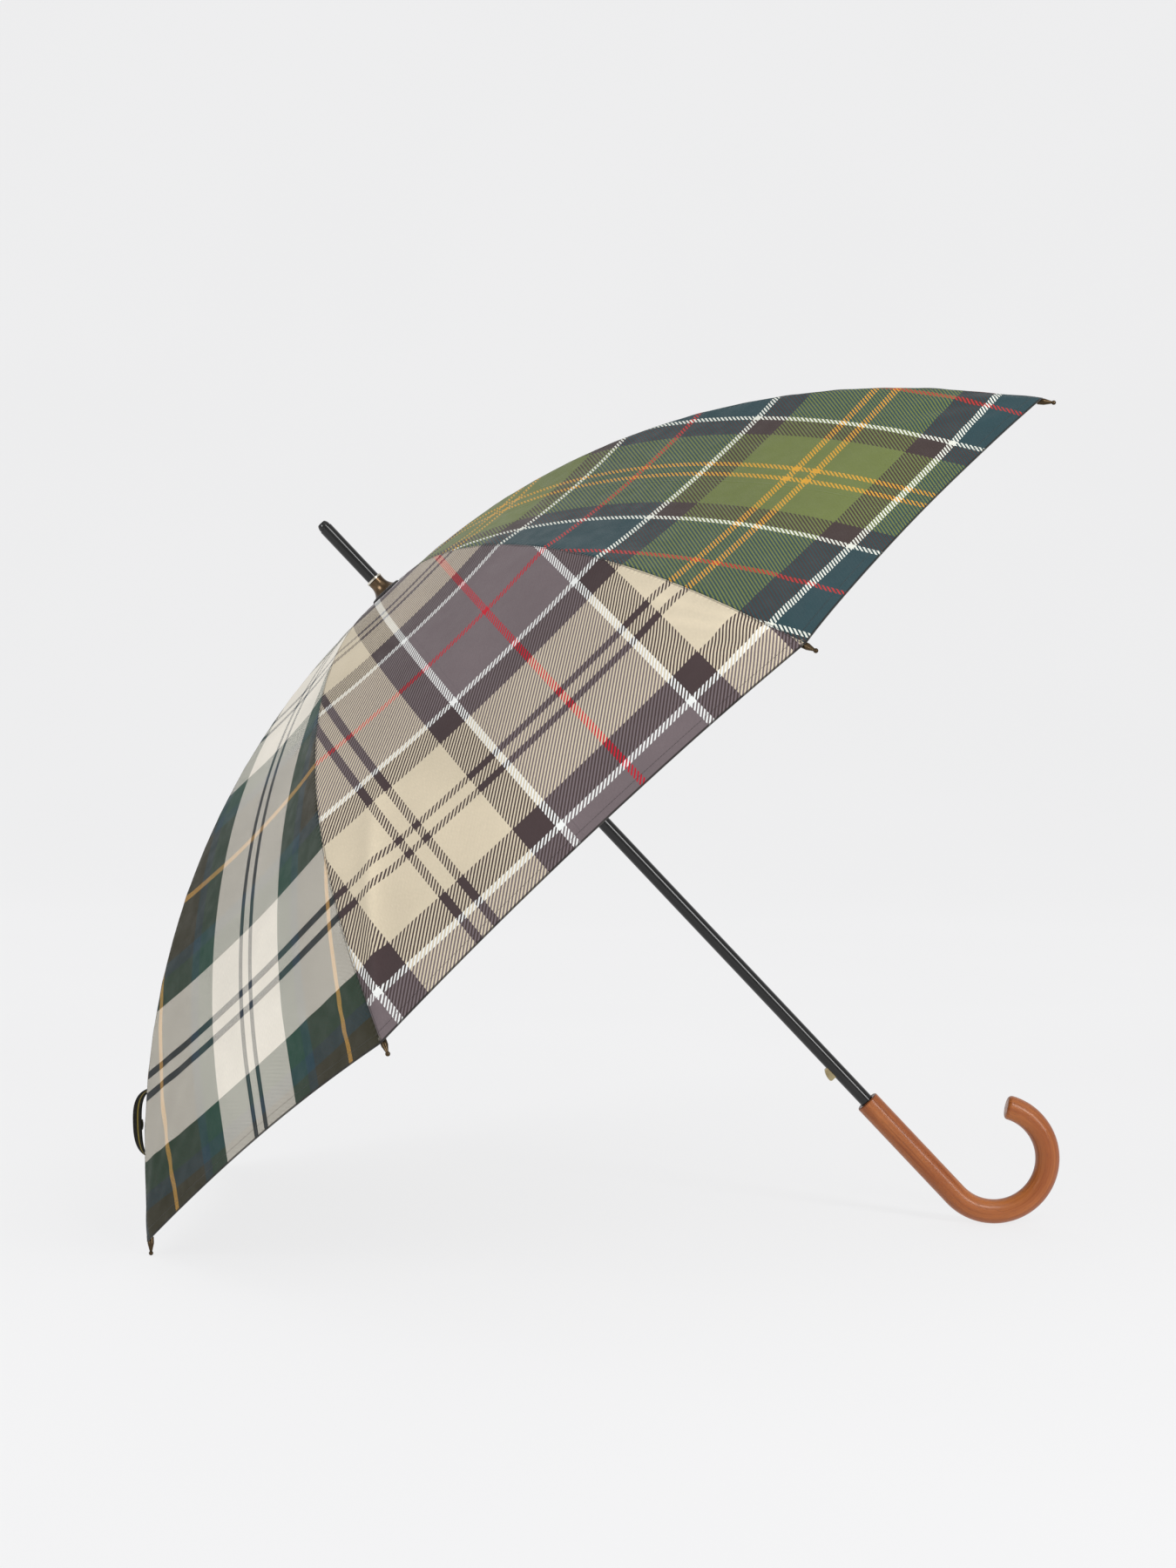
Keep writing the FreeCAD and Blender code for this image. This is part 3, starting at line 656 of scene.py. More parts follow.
@dataclass(frozen=True)
class Metal:
    """Plated or bare metal with turning marks, soft tarnish and rubbed spots."""

    name: str
    base: tuple
    tarnish: tuple
    roughness: float
    marks: float = 900.0
    metallic: float = 1.0

    def material(self) -> bpy.types.Material:
        """The metal as a material on Object coordinates.

        Returns:
            The finished material.
        """
        d = Dressing(self.name)
        where = d.place()
        cloud = d.noise(where, 130.0, 4.0).ramp(0.35, 0.72)
        fine = d.noise(where, self.marks, 2.0)
        colour = d.blend(cloud * 0.6, self.base, self.tarnish)
        rough = d.noise(where, 260.0, 3.0).ramp(0.25, 0.75, self.roughness * 0.8,
                                                self.roughness * 1.3)
        relief = d.bump(fine, 0.00002)
        return d.done(Base_Color=colour, Roughness=rough, Normal=relief,
                      Metallic=self.metallic)


@dataclass(frozen=True)
class Lacquer:
    """Paint or moulded plastic with a faint orange-peel and dust-dulled places."""

    name: str
    base: tuple
    dusty: tuple
    roughness: float
    coat: float = 0.0
    grain: float = 600.0
    depth: float = 0.00001
    shine: float = 0.3

    def material(self) -> bpy.types.Material:
        """The finish as a material on Object coordinates.

        Returns:
            The finished material.
        """
        d = Dressing(self.name)
        where = d.place()
        colour = d.blend(d.noise(where, 45.0, 4.0).ramp(0.4, 0.8), self.base, self.dusty)
        rough = d.noise(where, 90.0, 3.0).ramp(0.3, 0.7, self.roughness * 0.85,
                                               self.roughness * 1.25)
        relief = d.bump(d.noise(where, self.grain, 2.0), self.depth)
        return d.done(Base_Color=colour, Roughness=rough, Normal=relief, Coat_Weight=self.coat,
                      Coat_Roughness=0.06, Specular_IOR_Level=self.shine)


@dataclass(frozen=True)
class Braid:
    """Dark braided cord and gathered cloth, with threads on the map 'weave'."""

    name: str
    base: tuple
    light: tuple
    pitch: float = 0.0009

    def material(self) -> bpy.types.Material:
        """The cloth as a material on its map.

        Returns:
            The finished material.
        """
        d = Dressing(self.name)
        u, v = d.map("weave")
        mix = ((u + v).wave(self.pitch) * (u - v).wave(self.pitch)).ramp(-0.7, 0.9)
        colour = d.blend(mix, self.base, self.light)
        worn = d.noise(d.place(), 300.0, 3.0).ramp(0.35, 0.75, 0.7, 0.95)
        relief = d.bump(mix, 0.00012)
        return d.done(Base_Color=colour, Roughness=worn, Normal=relief, Sheen_Weight=0.3,
                      Sheen_Roughness=0.5)


@dataclass(frozen=True)
class StripedTape:
    """Near-black woven tape with one olive-yellow stripe along it."""

    name: str = "strap_tape"
    width: float = 0.014
    warp: float = 0.0007
    weft: float = 0.0009
    stitch: float = 0.003

    def material(self) -> bpy.types.Material:
        """The tape as a material on the map 'weave': along and across, in metres.

        Returns:
            The finished material.
        """
        d = Dressing(self.name)
        u, v = d.map("weave")
        weave = (u.wave(self.weft) * v.wave(self.warp)).ramp(-0.8, 0.8)
        colour = d.blend(weave, tint(12, 12, 9), tint(26, 25, 19))
        stripe = v.line(self.width * 0.62, 0.0011, 0.0014)
        colour = d.blend(stripe, colour, d.blend(weave, tint(92, 80, 32), tint(130, 114, 50)))
        stitch = (u.repeat(self.stitch) < 0.6) * u.line(0.004, 0.0003, 0.0006)
        colour = d.blend(stitch * 0.6, colour, tint(70, 66, 50))
        rough = d.noise(d.place(), 400.0, 2.0).ramp(0.3, 0.7, 0.7, 0.9)
        relief = d.bump(weave, 0.00015)
        return d.done(Base_Color=colour, Roughness=rough, Normal=relief,
                      Specular_IOR_Level=0.12)


@dataclass(frozen=True)
class StudioPaper:
    """Seamless pale paper under and behind the umbrella."""

    name: str = "studio_paper"
    glow: float = 0.90

    def material(self) -> bpy.types.Material:
        """The paper as a material.

        Returns:
            The finished material.
        """
        d = Dressing(self.name)
        tone = d.noise(d.place(), 1.4, 2.0).ramp(0.3, 0.7)
        colour = d.blend(tone, tint(88, 88, 89), tint(91, 91, 92))
        glow = (0.86, 0.86, 0.865, 1)
        return d.done(Base_Color=colour, Roughness=0.9, Specular_IOR_Level=0.1,
                      Emission_Color=glow, Emission_Strength=self.glow)


# --- canopy ---


@dataclass(frozen=True)
class RibCurve:
    """The rib's centre line in its own plane: an arc, then a straight tail."""

    bend_radius: float = 0.6475
    bend_angle: float = math.radians(48.0)
    tail: float = 0.066
    pivot_radius: float = 0.0095

    @property
    def length(self) -> float:
        """Length along the rib from its pivot to the middle of the tip's ball."""
        return self.bend_radius * self.bend_angle + self.tail

    def point(self, along: np.ndarray, lift: np.ndarray | float = 0.0) -> tuple:
        """Distance from the shaft and height at a length along the rib.

        The arc turns by along / bend_radius up to bend_angle, then runs straight. Lift
        raises the point off the centre line.

        Args:
            along: lengths along the rib.
            lift: how far off the centre line, outwards.

        Returns:
            Arrays of distance and height.
        """
        turn = np.minimum(along / self.bend_radius, self.bend_angle)
        tail = np.maximum(along - self.bend_radius * self.bend_angle, 0)
        out = self.pivot_radius + (self.bend_radius + lift) * np.sin(turn) + tail * np.cos(turn)
        up = (self.bend_radius + lift) * np.cos(turn) - self.bend_radius - tail * np.sin(turn)
        return out, up


RIB = RibCurve()


@dataclass(frozen=True)
class TensionFold:
    """A soft fold that runs up the cloth from a rib's tip."""

    lean: float
    height: float
    width: float
    reach: float


@dataclass
class Canopy:
    """Eight gores of tartan cloth that meet at the middle of each panel as one skin."""

    lift: float = 0.0030
    cloth: float = 0.0006
    first: float = 0.0030
    hem_setback: float = 0.009
    scallop: float = 0.010
    sag: float = 0.0055
    ridge: float = 0.0035
    rows: int = 132
    half_cols: int = 34
    keep: float = 0.17
    crowding: float = 1.25
    check_start: float = 0.027
    tall_fold: float = 0.0034
    marks: int = 400
    pucker: float = 0.00035
    drift: float = 0.0007
    materials: dict[Plaid, bpy.types.Material] = field(default_factory=dict)
    thread: bpy.types.Material | None = None

    ORDER = (Plaid.DARK, Plaid.OLIVE, Plaid.BEIGE, Plaid.CREAM)

    def plaid(self, panel: int) -> Plaid:
        """Tartan of the panel between a rib and the next one."""
        return self.ORDER[panel % 4]

    def folds(self, rib: int, side: int) -> list[TensionFold]:
        """The folds of one half panel, the same on every run.

        Args:
            rib, side: which half, as in half().

        Returns:
            Its folds.
        """
        if (rib, side) == (3, 1):
            return [TensionFold(0.29, 0.0034, 0.055, 0.27), TensionFold(0.75, 0.0010, 0.06, 0.12)]
        if (rib, side) == (2, -1):
            return [TensionFold(0.13, 0.0016, 0.040, 0.24), TensionFold(0.27, 0.0019, 0.05, 0.19),
                    TensionFold(0.62, 0.0012, 0.07, 0.14)]
        chance = np.random.default_rng(100 * rib + side)
        return [
            TensionFold(float(lean), float(height), 0.05, float(reach))
            for lean, height, reach in zip(
                chance.uniform((0.15, 0.5, 0.9), (0.4, 0.8, 1.2)),
                chance.uniform(0.0006, 0.0016, 3),
                chance.uniform(0.08, 0.2, 3),
            )
        ]

    def down_panel(self, along: np.ndarray | float) -> np.ndarray:
        """Length of cloth down a panel's middle, to the same lengths along its ribs.

        Args:
            along: lengths along the ribs.

        Returns:
            The lengths of cloth.
        """
        marks = np.linspace(0, RIB.length, self.marks)
        out, up = RIB.point(marks, self.lift)
        steps = np.hypot(np.diff(out) * math.cos(HALF_STEP), np.diff(up))
        return np.interp(along, marks, np.concatenate([[0], np.cumsum(steps)]))

    def half(self, rib: int, side: int) -> tuple[np.ndarray, np.ndarray, dict[str, np.ndarray]]:
        """Both faces of half a panel, about rib 0 of the own axes.

        Rows run from crown to hem and columns from the rib, c = 0, to the panel's middle,
        c = 1. A point lies on the straight line between neighbouring ribs at one length
        along them; the cloth then sags inwards by c (2 - c), is rounded over the rib, and
        is raised by folds that fade before the middle, so both halves meet smoothly there.

        Args:
            rib: the rib's number.
            side: 1 for the half towards the rib before, -1 for the one towards the next.

        Returns:
            Outer face, inner face, and the maps 'weave', 'edges' and the painted crease highlight.
        """
        c = np.linspace(0, 1, self.half_cols + 1) ** self.crowding
        end = RIB.length - self.hem_setback - self.scallop * (1 - (1 - c) ** 2)
        t = np.linspace(0, 1, self.rows + 1)[:, None]
        along = self.first + (end - self.first) * t
        c = np.broadcast_to(c, along.shape)
        share = along / RIB.length
        out, up = RIB.point(along, self.lift)
        step = 1e-4
        out_next, up_next = RIB.point(along + step, self.lift)
        run = np.cos(HALF_STEP) * (out_next - out)
        rise = up_next - up
        size = np.hypot(run, rise)
        normal_out, normal_up = -rise / size, run / size
        half_chord = out * math.sin(HALF_STEP)
        soft = self.ridge / np.maximum(half_chord, 0.004)
        eased = (np.sqrt(c**2 + soft**2) - soft) / (np.sqrt(1 + soft**2) - soft)
        from_seam = c * half_chord
        to_tip = RIB.length - self.hem_setback - along
        reach = np.hypot(from_seam, to_tip) + 1e-9
        lean = np.arctan2(from_seam, np.maximum(to_tip, 1e-6))
        sink = self.sag * smooth_step(share, 0.02, 0.6) * (1 - 0.45 * smooth_step(share, 0.65, 1.0))
        height = -sink * c * (2 - c)
        calm = (1 - c**2) ** 2
        creased = np.zeros_like(height)
        for fold in self.folds(rib, side):
            bell = np.exp(-(((lean - fold.lean) / (fold.width + 0.004 / reach)) ** 2))
            fade = smooth_step(reach, 0.004, 0.05) * smooth_step(from_seam, 0.0, 0.006)
            fade = fade * (1 - smooth_step(reach, 0.5 * fold.reach, fold.reach))
            height = height + fold.height * bell * fade * calm
            # painted highlight along the fold creases: how much lighter the cloth's colour is made
            # there
            creased = creased + bell**4 * fade * calm * fold.height / self.tall_fold
        chance = np.random.default_rng(7 * rib + side + 3)
        a, b = chance.uniform(0, 6.28, 2)
        ripple = np.sin(along / 0.0062 + a) + 0.6 * np.sin(along / 0.0105 + b)
        near = np.exp(-from_seam / 0.011) * smooth_step(from_seam, 0.0, 0.002)
        height = height + self.pucker * ripple * near * calm
        drift = np.sin(along / 0.071 + a) * np.sin(3.1 * c + b)
        waved = drift * calm * smooth_step(share, 0.1, 0.3) * np.sin(math.pi * c)
        height = height + self.drift * waved
        faces = []
        for depth in (0.0, self.cloth):
            raised = height - depth
            x = out * (1 - eased * math.sin(HALF_STEP) ** 2)
            y = c * half_chord * math.cos(HALF_STEP)
            x = x + raised * normal_out * math.cos(HALF_STEP)
            y = y + raised * normal_out * math.sin(HALF_STEP) * smooth_step(c, 0.0, 0.15)
            z = up + raised * normal_up
            faces.append(np.stack([x, side * y, z], -1))
        down = self.down_panel(along) - self.down_panel(RIB.length - self.check_start)
        weave = np.stack([-side * (half_chord - from_seam), down], -1)
        edges = np.stack([from_seam, end - along], -1)
        # the crease map: the painted highlight along the folds, and c
        rubbed = np.stack([np.clip(creased, 0, 1), c], -1)
        return faces[0], faces[1], {"weave": weave, "edges": edges, "rubbed": rubbed}

    def gore(self, rib: int) -> None:
        """The cloth of one rib: two half panels of different tartans sewn over it.

        Args:
            rib: the rib's number.
        """
        plaids = [self.plaid(rib), self.plaid(rib - 1)]
        patches: list[Patch] = []
        halves = {side: self.half(rib, side) for side in (-1, 1)}
        turn = rib_angle(rib)
        for number, side in enumerate((-1, 1)):
            over, under, maps = halves[side]
            if side < 0:
                over, under = over[:, ::-1], under[:, ::-1]
                maps = {m: v[:, ::-1] for m, v in maps.items()}
            over, under = about_shaft(over, turn), about_shaft(under, turn)
            sheet = sheet_patches(over, under, maps, number, 2)
            inner_side = 4 if side < 0 else 2
            patches += [p for p in sheet if p.group != inner_side]
        finishes = [self.materials[p] for p in plaids] + [self.thread]
        piece = make_piece(f"canopy_cloth_{rib}", patches, finishes)
        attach(piece, f"rib_{rib}")
        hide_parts(f"canopy_gore_{rib}")
        width = 2 * RIB.point(np.array(RIB.length - self.hem_setback))[0] * math.sin(HALF_STEP)
        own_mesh(piece)

    def build(self) -> None:
        """All eight gores."""
        self.materials = {t.plaid: t.material() for t in TARTANS}
        self.thread = Braid("hem_thread", tint(22, 21, 17), tint(44, 41, 33), 0.0012).material()
        for k in range(1, RIBS + 1):
            self.gore(k)


@dataclass
class RibTips:
    """Thread wound round each rib's end, where the cloth's corner is sewn to it."""

    radius: float = 0.0024
    tube: float = 0.00035
    turns: int = 3
    around: int = 10
    along: int = 160
    behind: float = 0.0142

    def build(self) -> None:
        """One winding a rib: a small tube carried along a close helix about the rib."""
        thread = Braid("tip_thread", tint(70, 64, 54), tint(112, 104, 88), 0.0006).material()
        slope = RIB.bend_angle
        out, up = RIB.point(np.array(RIB.length - self.behind), 0.0005)
        way = np.array([math.cos(slope), 0, -math.sin(slope)])
        lift = np.array([math.sin(slope), 0, math.cos(slope)])
        side = np.array([0.0, 1.0, 0.0])
        t = np.linspace(0, 2 * math.pi * self.turns, self.along + 1)
        radial = np.cos(t)[:, None] * lift + np.sin(t)[:, None] * side
        centre = (np.array([out, 0, up]) + self.radius * radial
                  + way * (t / (2 * math.pi) * 2 * self.tube)[:, None])
        ring = full_turn(self.around)
        size = self.tube * np.sqrt(np.clip(np.minimum(t, t[-1] - t) / 0.3, 0, 1))
        tube = centre[:, None] + size[:, None, None] * (
            np.cos(ring)[None, :, None] * radial[:, None] + np.sin(ring)[None, :, None] * way)
        weave = grid(t[:, None] * self.radius, ring * self.tube)
        for k in range(1, RIBS + 1):
            points = about_shaft(tube, rib_angle(k))
            piece = make_piece(f"tip_winding_{k}", [Patch(points, {"weave": weave})], [thread])
            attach(piece, f"rib_{k}")
        LOG.info("tip windings: %d", RIBS)


# --- strap ---


@dataclass
class ClosingStrap:
    """Striped tape sewn to the lowest front panel at both ends, standing off as a loop."""

    rib: int = 4
    beside: float = math.radians(8.5)
    above_tip: float = 0.092
    length: float = 0.060
    depth: float = 0.0158
    width: float = 0.014
    tape: float = 0.0010
    stand_off: float = 0.0033
    swell: float = 0.0022
    turn: float = -0.6
    keep: float = 0.17

    def onto_panel(self, points: np.ndarray) -> np.ndarray:
        """Points made flat at the origin, moved onto the panel beside the strap's rib.

        Args:
            points: x up the panel, y across it and z off it.

        Returns:
            Places on the umbrella's own axes.
        """
        along = RIB.length - self.above_tip
        out, up = RIB.point(np.array(along), self.stand_off)
        across = out * math.cos(HALF_STEP)
        side = across * math.tan(HALF_STEP - self.beside)
        slope = min(along / RIB.bend_radius, RIB.bend_angle)
        lean = math.atan2(math.sin(slope), math.cos(slope) * math.cos(HALF_STEP))
        c, s = math.cos(lean), math.sin(lean)
        x, y, z = points[..., 0], points[..., 1], points[..., 2]
        moved = np.stack([c * x + s * z + across, y + side, -s * x + c * z + up], -1)
        return about_shaft(moved, rib_angle(self.rib) - HALF_STEP)

    def build(self) -> None:
        """The tape and the press stud inside it."""
        t = np.linspace(0.02, math.pi - 0.02, 61)[:, None]
        w = np.linspace(0, self.width, 9)
        flat = self.length / 2
        curl = 1 + 0.02 * np.sin(3 * t)
        faces = []
        for inset in (0.0, self.tape):
            x = -(flat - inset) * np.sign(np.cos(t)) * np.abs(np.cos(t)) ** 0.8
            z = (self.depth + self.swell - inset) * np.sin(t) ** 0.7 * curl - 0.0008
            z = z + self.turn * (w - 0.6 * self.width) * np.sin(t) ** 0.8
            y = (w - self.width / 2) * (1 - 0.18 * np.sin(t)) + 0.0006 * np.sin(2 * t)
            faces.append(grid(x, y, z))
        run = np.linalg.norm(np.diff(faces[0][:, 0], axis=0), axis=1)
        along = np.concatenate([[0], np.cumsum(run)])[:, None]
        weave = grid(along, w)
        over, under = (self.onto_panel(f) for f in faces)
        tape = make_piece("strap_loop", sheet_patches(over, under, {"weave": weave}),
                          [StripedTape().material()])
        self.dress(tape, "strap")
        radius = np.array([0, 2.2, 2.6, 3.4, 4.3, 4.5, 4.3, 0]) * MM
        height = np.array([0, 0, 0.35, 0.45, 0.5, 0.8, 1.15, 1.2]) * MM
        stud = ring_of(radius, height + self.depth - self.tape - 0.0025, 36)
        finish = Metal("popper_nickel", tint(150, 140, 120), tint(90, 80, 64), 0.3).material()
        popper = make_piece("strap_press_stud", [Patch(self.onto_panel(stud))], [finish])
        self.dress(popper, "strap_popper")
        LOG.info("strap: tape %.3f m long", float(along[-1, 0]))

    def dress(self, piece: bpy.types.Object, node: str) -> None:
        """Lets a piece ride on the strap's rib in place of its CAD node.

        Args:
            piece: the piece.
            node: the CAD node that it stands for.
        """
        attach(piece, f"rib_{self.rib}")
        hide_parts(node)
        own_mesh(piece)


# --- crown ---


@dataclass
class CrownCloth:
    """Gathered cloth disc at the crown with a braided cord round its edge."""

    bore: float = 0.0061
    radius: float = 0.0123
    top: float = 0.0051
    under: float = 0.0033
    step: float = 0.0108
    foot: float = 0.0029
    cord: float = 0.0015
    cord_radius: float = 0.0133
    cord_height: float = 0.0049
    strands: int = 3
    twists: int = 16
    gathers: int = 26

    def disc(self, cloth: bpy.types.Material) -> None:
        """The disc: a closed profile turned round the shaft, its rim waved by gathers.

        Args:
            cloth: its finish.
        """
        radius = np.array([self.bore, self.step, self.step, self.radius - 0.0006, self.radius,
                           self.radius - 0.0005, self.bore, self.bore])
        height = np.array([self.foot, self.foot, self.under, self.under, self.under + 0.0009,
                           self.top, self.top, self.foot])
        points = ring_of(radius, height, 120)
        turn = full_turn(120)
        wave = 1 + 0.012 * np.cos(self.gathers * turn) * (radius[:, None] > 0.011)
        points[..., :2] *= wave[..., None]
        weave = grid(turn * self.radius, radius[:, None])
        piece = make_piece("rosette_cloth", [Patch(points, {"weave": weave})], [cloth])
        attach(piece, "shaft")
        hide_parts("rosette")

    def braid(self, cord: bpy.types.Material) -> None:
        """The cord: a tube round the disc whose section has a few lobes that twist along it.

        Args:
            cord: its finish.
        """
        turn = full_turn(480)[:, None]
        ring = full_turn(30)
        lobes = np.abs(np.cos(self.strands / 2 * (ring - self.twists * turn)))
        size = self.cord * (0.74 + 0.26 * lobes)
        reach = self.cord_radius + size * np.cos(ring)
        height = self.cord_height + size * np.sin(ring)
        points = np.stack([reach * np.cos(turn), reach * np.sin(turn), height], -1)
        weave = grid(turn * self.radius, ring * self.cord)
        piece = make_piece("rosette_braid", [Patch(points, {"weave": weave})], [cord])
        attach(piece, "shaft")

    def build(self) -> None:
        """Disc and cord."""
        cloth = Braid("rosette_fabric", tint(26, 24, 26), tint(54, 50, 52)).material()
        cord = Braid("braided_cord", tint(18, 17, 19), tint(60, 55, 56), 0.0007).material()
        LOG.info("crown cloth: %d twists in the cord", self.twists)
        self.disc(cloth)
        self.braid(cord)


# --- handle ---


@dataclass
class Crook:
    """Bent wooden handle, a round section carried down a straight and round an arc."""

    radius: float = 0.0105
    top: float = 0.603
    straight: float = 0.113
    bend: float = 0.0464
    sweep: float = math.radians(214.0)
    bore: float = 0.00602
    bore_depth: float = 0.0325
    top_round: float = 0.0016
    end_round: float = 0.0035
    around: int = 72

    def path(self, along: np.ndarray) -> tuple[np.ndarray, np.ndarray]:
        """Centre line and its inward normal: straight down z, then an arc towards x.

        Args:
            along: lengths from the handle's top.

        Returns:
            Both, with a row for each length.
        """
        turn = np.clip((along - self.straight) / self.bend, 0, None)
        down = np.minimum(along, self.straight)
        x = self.bend * (1 - np.cos(turn))
        z = -self.top - down - self.bend * np.sin(turn)
        flat = np.zeros_like(x)
        return np.stack([x, flat, z], -1), np.stack([np.cos(turn), flat, np.sin(turn)], -1)

    def profile(self) -> tuple[np.ndarray, np.ndarray]:
        """Distance along and radius: up the bore, over the top edge, along, round the end.

        Returns:
            Both, point by point.
        """
        whole = self.straight + self.bend * self.sweep
        quarter = np.linspace(0, math.pi / 2, 9)
        body = np.linspace(self.top_round + 0.002, whole - self.end_round - 0.002, 150)
        top, end = self.top_round, self.end_round
        along = np.concatenate([[self.bore_depth] * 2, [0.0003, 0.0], top * (1 - np.cos(quarter)),
                                body, whole - end + end * np.sin(quarter), [whole]])
        radius = np.concatenate([[0, self.bore], [self.bore, self.bore + 0.0003],
                                 self.radius - top + top * np.sin(quarter),
                                 np.full(len(body), self.radius),
                                 self.radius - end + end * np.cos(quarter), [0]])
        return along, radius

    def build(self) -> None:
        """The handle, which stands for the wooden CAD node."""
        along, radius = self.profile()
        centre, inward = self.path(along)
        ring = full_turn(self.around)
        across = np.array([0.0, 1.0, 0.0])
        spoke = np.cos(ring)[None, :, None] * inward[:, None] + np.sin(ring)[None, :, None] * across
        points = centre[:, None] + radius[:, None, None] * spoke
        grain = grid(along[:, None], ring * self.radius)
        piece = make_piece("crook_handle", [Patch(points, {"grain": grain})],
                           [SatinWood().material()])
        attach(piece, "shaft")
        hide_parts("handle_crook")
        LOG.info("crook: %d faces", len(piece.data.polygons))


# --- carried-over metal ---


@dataclass
class Hardware:
    """Finishes of the CAD parts whose shape is already right."""

    def finishes(self) -> dict[str, bpy.types.Material]:
        """A material for each kind of metal or plastic part.

        Returns:
            The materials by kind.
        """
        black = (0.004, 0.004, 0.004, 1)
        kinds = {
            "enamel": Lacquer("gloss_black_enamel", black, (0.008, 0.008, 0.008, 1), 0.12, 0.0,
                              60.0, 0.000001, 0.5),
            "moulded": Lacquer("moulded_black", (0.016, 0.016, 0.017, 1), (0.03, 0.03, 0.03, 1),
                               0.42, 0.0, 1500.0, 0.00004),
            "black_steel": Lacquer("blackened_steel", (0.03, 0.03, 0.032, 1),
                                   (0.07, 0.066, 0.06, 1), 0.32, 0.1, 900.0),
            "bronze": Metal("dark_bronze_plate", tint(104, 86, 66), tint(44, 36, 28), 0.26),
            "nickel": Metal("aged_nickel_tip", tint(84, 70, 52), tint(40, 32, 24), 0.30),
            "bright": Metal("bright_ring_plate", tint(226, 220, 208), tint(180, 170, 150), 0.14),
            "champagne": Metal("champagne_button_plate", tint(172, 158, 122),
                               tint(132, 116, 84), 0.34, 1400.0, 0.85),
            "steel": Metal("plain_steel", tint(190, 190, 192), tint(130, 130, 134), 0.3),
        }
        return {kind: finish.material() for kind, finish in kinds.items()}

    def build(self) -> None:
        """Gives each CAD node that stays its finish."""
        made = self.finishes()
        kinds = {
            "shaft_tube": "enamel", "ferrule": "enamel", "ferrule_tip": "enamel",
            "ferrule_cup": "bronze", "cup_ring": "bright", "top_notch": "moulded",
            "runner": "moulded", "release_button": "champagne", "button_spring": "steel",
            "notch_wire": "steel", "notch_pin": "steel", "stop_pin": "steel",
        }
        for k in range(1, RIBS + 1):
            kinds |= {f"rib_{k}": "black_steel", f"rib_tip_{k}": "nickel",
                      f"rib_joint_{k}": "black_steel", f"stretcher_{k}": "black_steel"}
        for name, kind in kinds.items():
            node = frame["nodes"][name]
            node.data.materials.clear()
            node.data.materials.append(made[kind])
        LOG.info("hardware: %d CAD parts dressed", len(kinds))


# --- studio ---


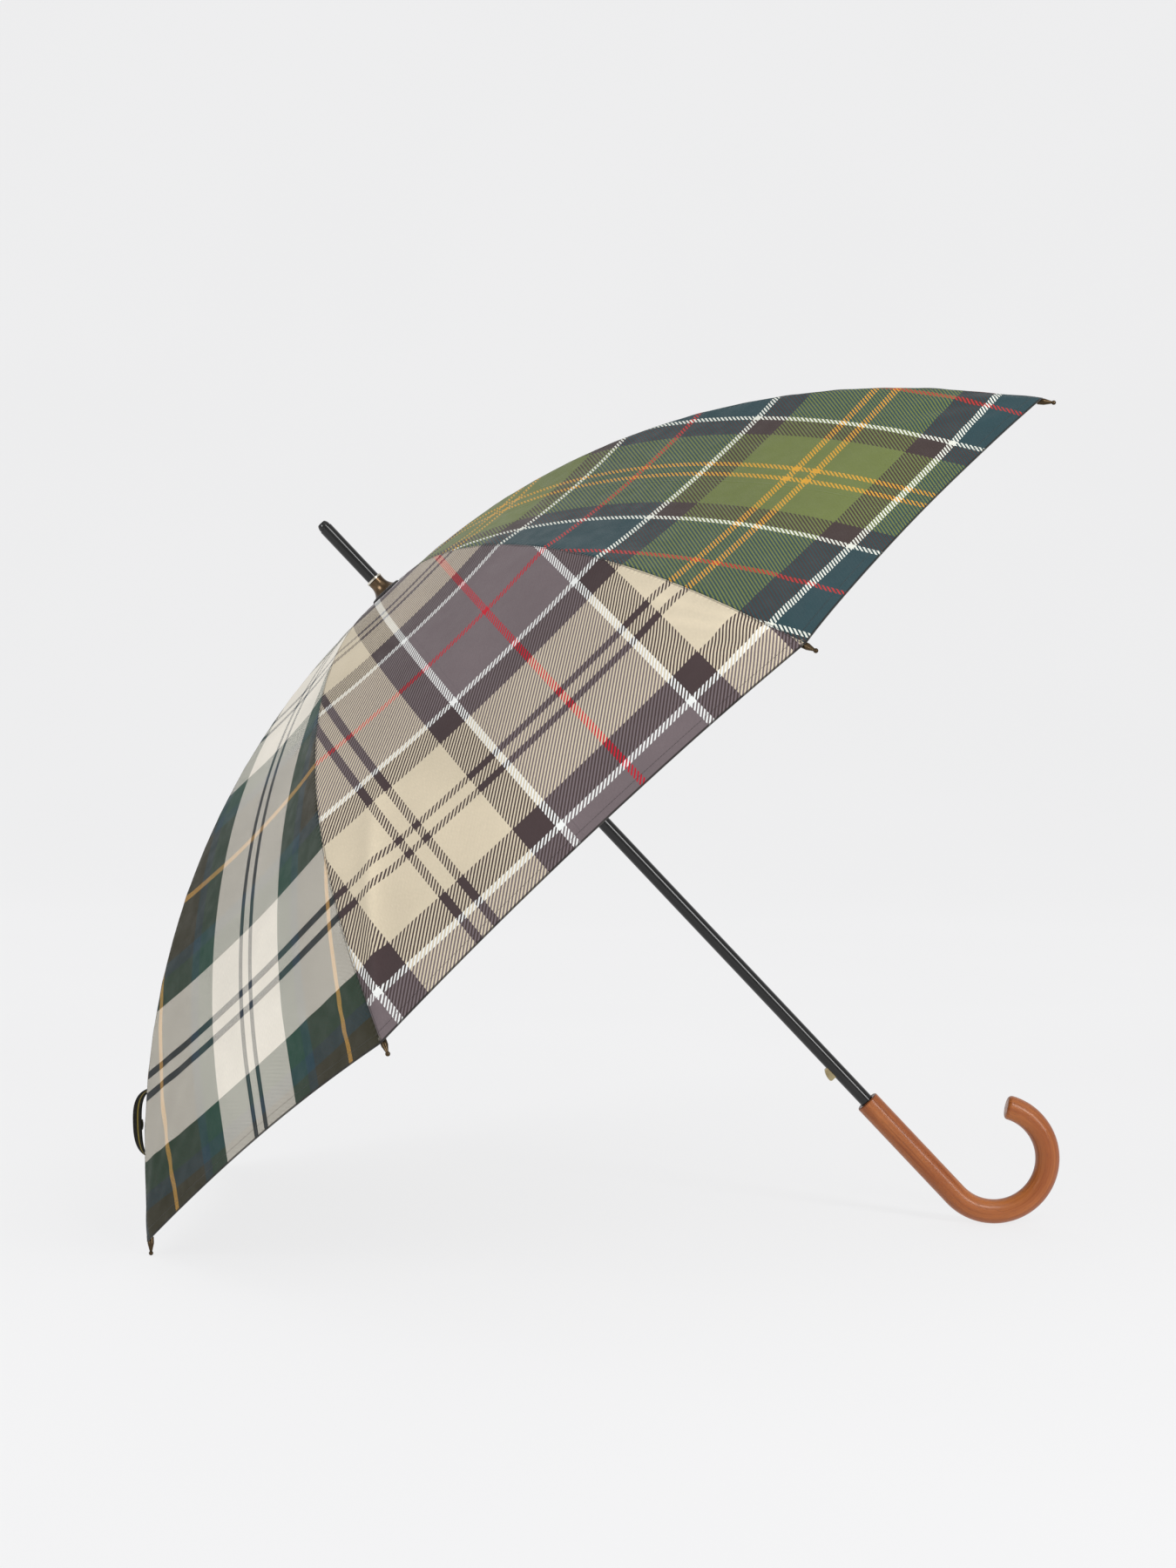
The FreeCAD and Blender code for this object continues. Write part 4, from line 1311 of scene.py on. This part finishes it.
@dataclass
class Studio:
    """Pale seamless paper, soft light and the camera."""

    camera_at: tuple[float, float, float] = (-0.0238, -2.4866, 0.4713)
    pitch: float = math.radians(-2.18)
    roll: float = math.radians(1.09)
    focal: float = 3293.5
    frame_height: float = 1800.0
    mirror: float = math.radians(44)
    strip_away: float = 2.2

    def paper(self) -> None:
        """Floor that curves up into a backdrop: a quarter circle between two flats."""
        side = np.linspace(-9, 9, 3)
        bend, run = 2.5, np.array([-7.0, -3.0, 0.0, 3.0])
        turn = np.linspace(0, math.pi / 2, 24)[1:]
        back = run[-1] + bend
        depth = np.concatenate([run, run[-1] + bend * np.sin(turn), [back, back]])
        height = np.concatenate([np.zeros(4), bend * (1 - np.cos(turn)), [5.0, 9.0]])
        points = grid(side, depth[:, None], height[:, None])
        mesh = bpy.data.meshes.new("studio_paper")
        rows, cols = points.shape[:2]
        index = np.arange(rows * cols).reshape(rows, cols)
        quads = np.stack([index[:-1, :-1], index[:-1, 1:], index[1:, 1:], index[1:, :-1]], -1)
        mesh.from_pydata(points.reshape(-1, 3).tolist(), [], quads.reshape(-1, 4).tolist())
        mesh.shade_smooth()
        mesh.materials.append(StudioPaper().material())
        put("studio_paper", mesh)

    def lamp(self, name: str, at: Sequence[float], towards: Sequence[float], size: float,
             power: float) -> None:
        """A soft square lamp that looks at a point.

        Args:
            name: the lamp's name.
            at, towards: its place and the point it looks at.
            size: its side.
            power: its power in watts.
        """
        light = bpy.data.lights.new(name, "AREA")
        light.energy, light.size, light.shape = power, size, "SQUARE"
        way = Vector(towards) - Vector(at)
        turn = np.array(way.to_track_quat("-Z", "Y").to_matrix())
        put(name, light, [*turn.T, at])

    def strip(self, name: str, towards: Sequence[float], size: tuple[float, float],
              power: float) -> None:
        """A narrow lamp along the shaft, where the shaft mirrors it to the camera.

        Args:
            name: the lamp's name.
            towards: the point of the shaft that it looks at.
            size: its width and its length, which lies along the shaft.
            power: its power in watts.
        """
        light = bpy.data.lights.new(name, "AREA")
        light.energy, light.shape, light.size, light.size_y = power, "RECTANGLE", *size
        upper = np.array([AXES.z[2], 0.0, -AXES.z[0]])
        away = np.sin(self.mirror) * upper - np.cos(self.mirror) * AXES.y
        place = np.array(towards) + self.strip_away * away
        put(name, light, [np.cross(AXES.z, away), AXES.z, away, place])

    def sky(self, strength: float) -> None:
        """Even pale light from everywhere.

        Args:
            strength: how bright it is.
        """
        world = bpy.data.worlds.new("studio_sky")
        world.use_nodes = True
        background = world.node_tree.nodes["Background"]
        background.inputs["Color"].default_value = (1, 1, 1, 1)
        background.inputs["Strength"].default_value = strength
        bpy.context.scene.world = world

    def camera(self) -> None:
        """Camera at the place and turn that show the umbrella's open side from the front."""
        forward = np.array([0, math.cos(self.pitch), math.sin(self.pitch)])
        right = np.array([1.0, 0, 0])
        up = np.cross(right, forward)
        c, s = math.cos(self.roll), math.sin(self.roll)
        right, up = c * right + s * up, c * up - s * right
        data = bpy.data.cameras.new("studio_camera")
        data.sensor_fit, data.sensor_width = "AUTO", 36.0
        data.lens = self.focal / self.frame_height * data.sensor_width
        columns = [right, up, -forward, self.camera_at]
        bpy.context.scene.camera = put("studio_camera", data, columns)

    def build(self) -> None:
        """Paper, lamps, sky and camera."""
        bpy.context.scene.view_settings.view_transform = "Standard"
        self.paper()
        self.sky(strength=0.56)
        key_at, top_at, shaft_middle = (-2.6, -2.2, 1.5), (0.3, -1.2, 3.0), (0.12, 0, 0.22)
        self.lamp("key_lamp", key_at, (0, 0, 0.4), size=1.5, power=40.0)
        self.lamp("top_lamp", top_at, (0, 0, 0.2), size=2.2, power=8.0)
        self.strip("edge_strip", shaft_middle, size=(0.45, 2.2), power=30.0)
        self.camera()
        LOG.info("studio: lens %.2f mm", bpy.context.scene.camera.data.lens)


def main() -> None:
    """Builds the studio and every part of the umbrella."""
    logging.basicConfig(level=logging.INFO, format="%(name)s: %(message)s")
    Studio().build()
    Canopy().build()
    RibTips().build()
    ClosingStrap().build()
    CrownCloth().build()
    Crook().build()
    Hardware().build()


if __name__ == "__main__":
    main()
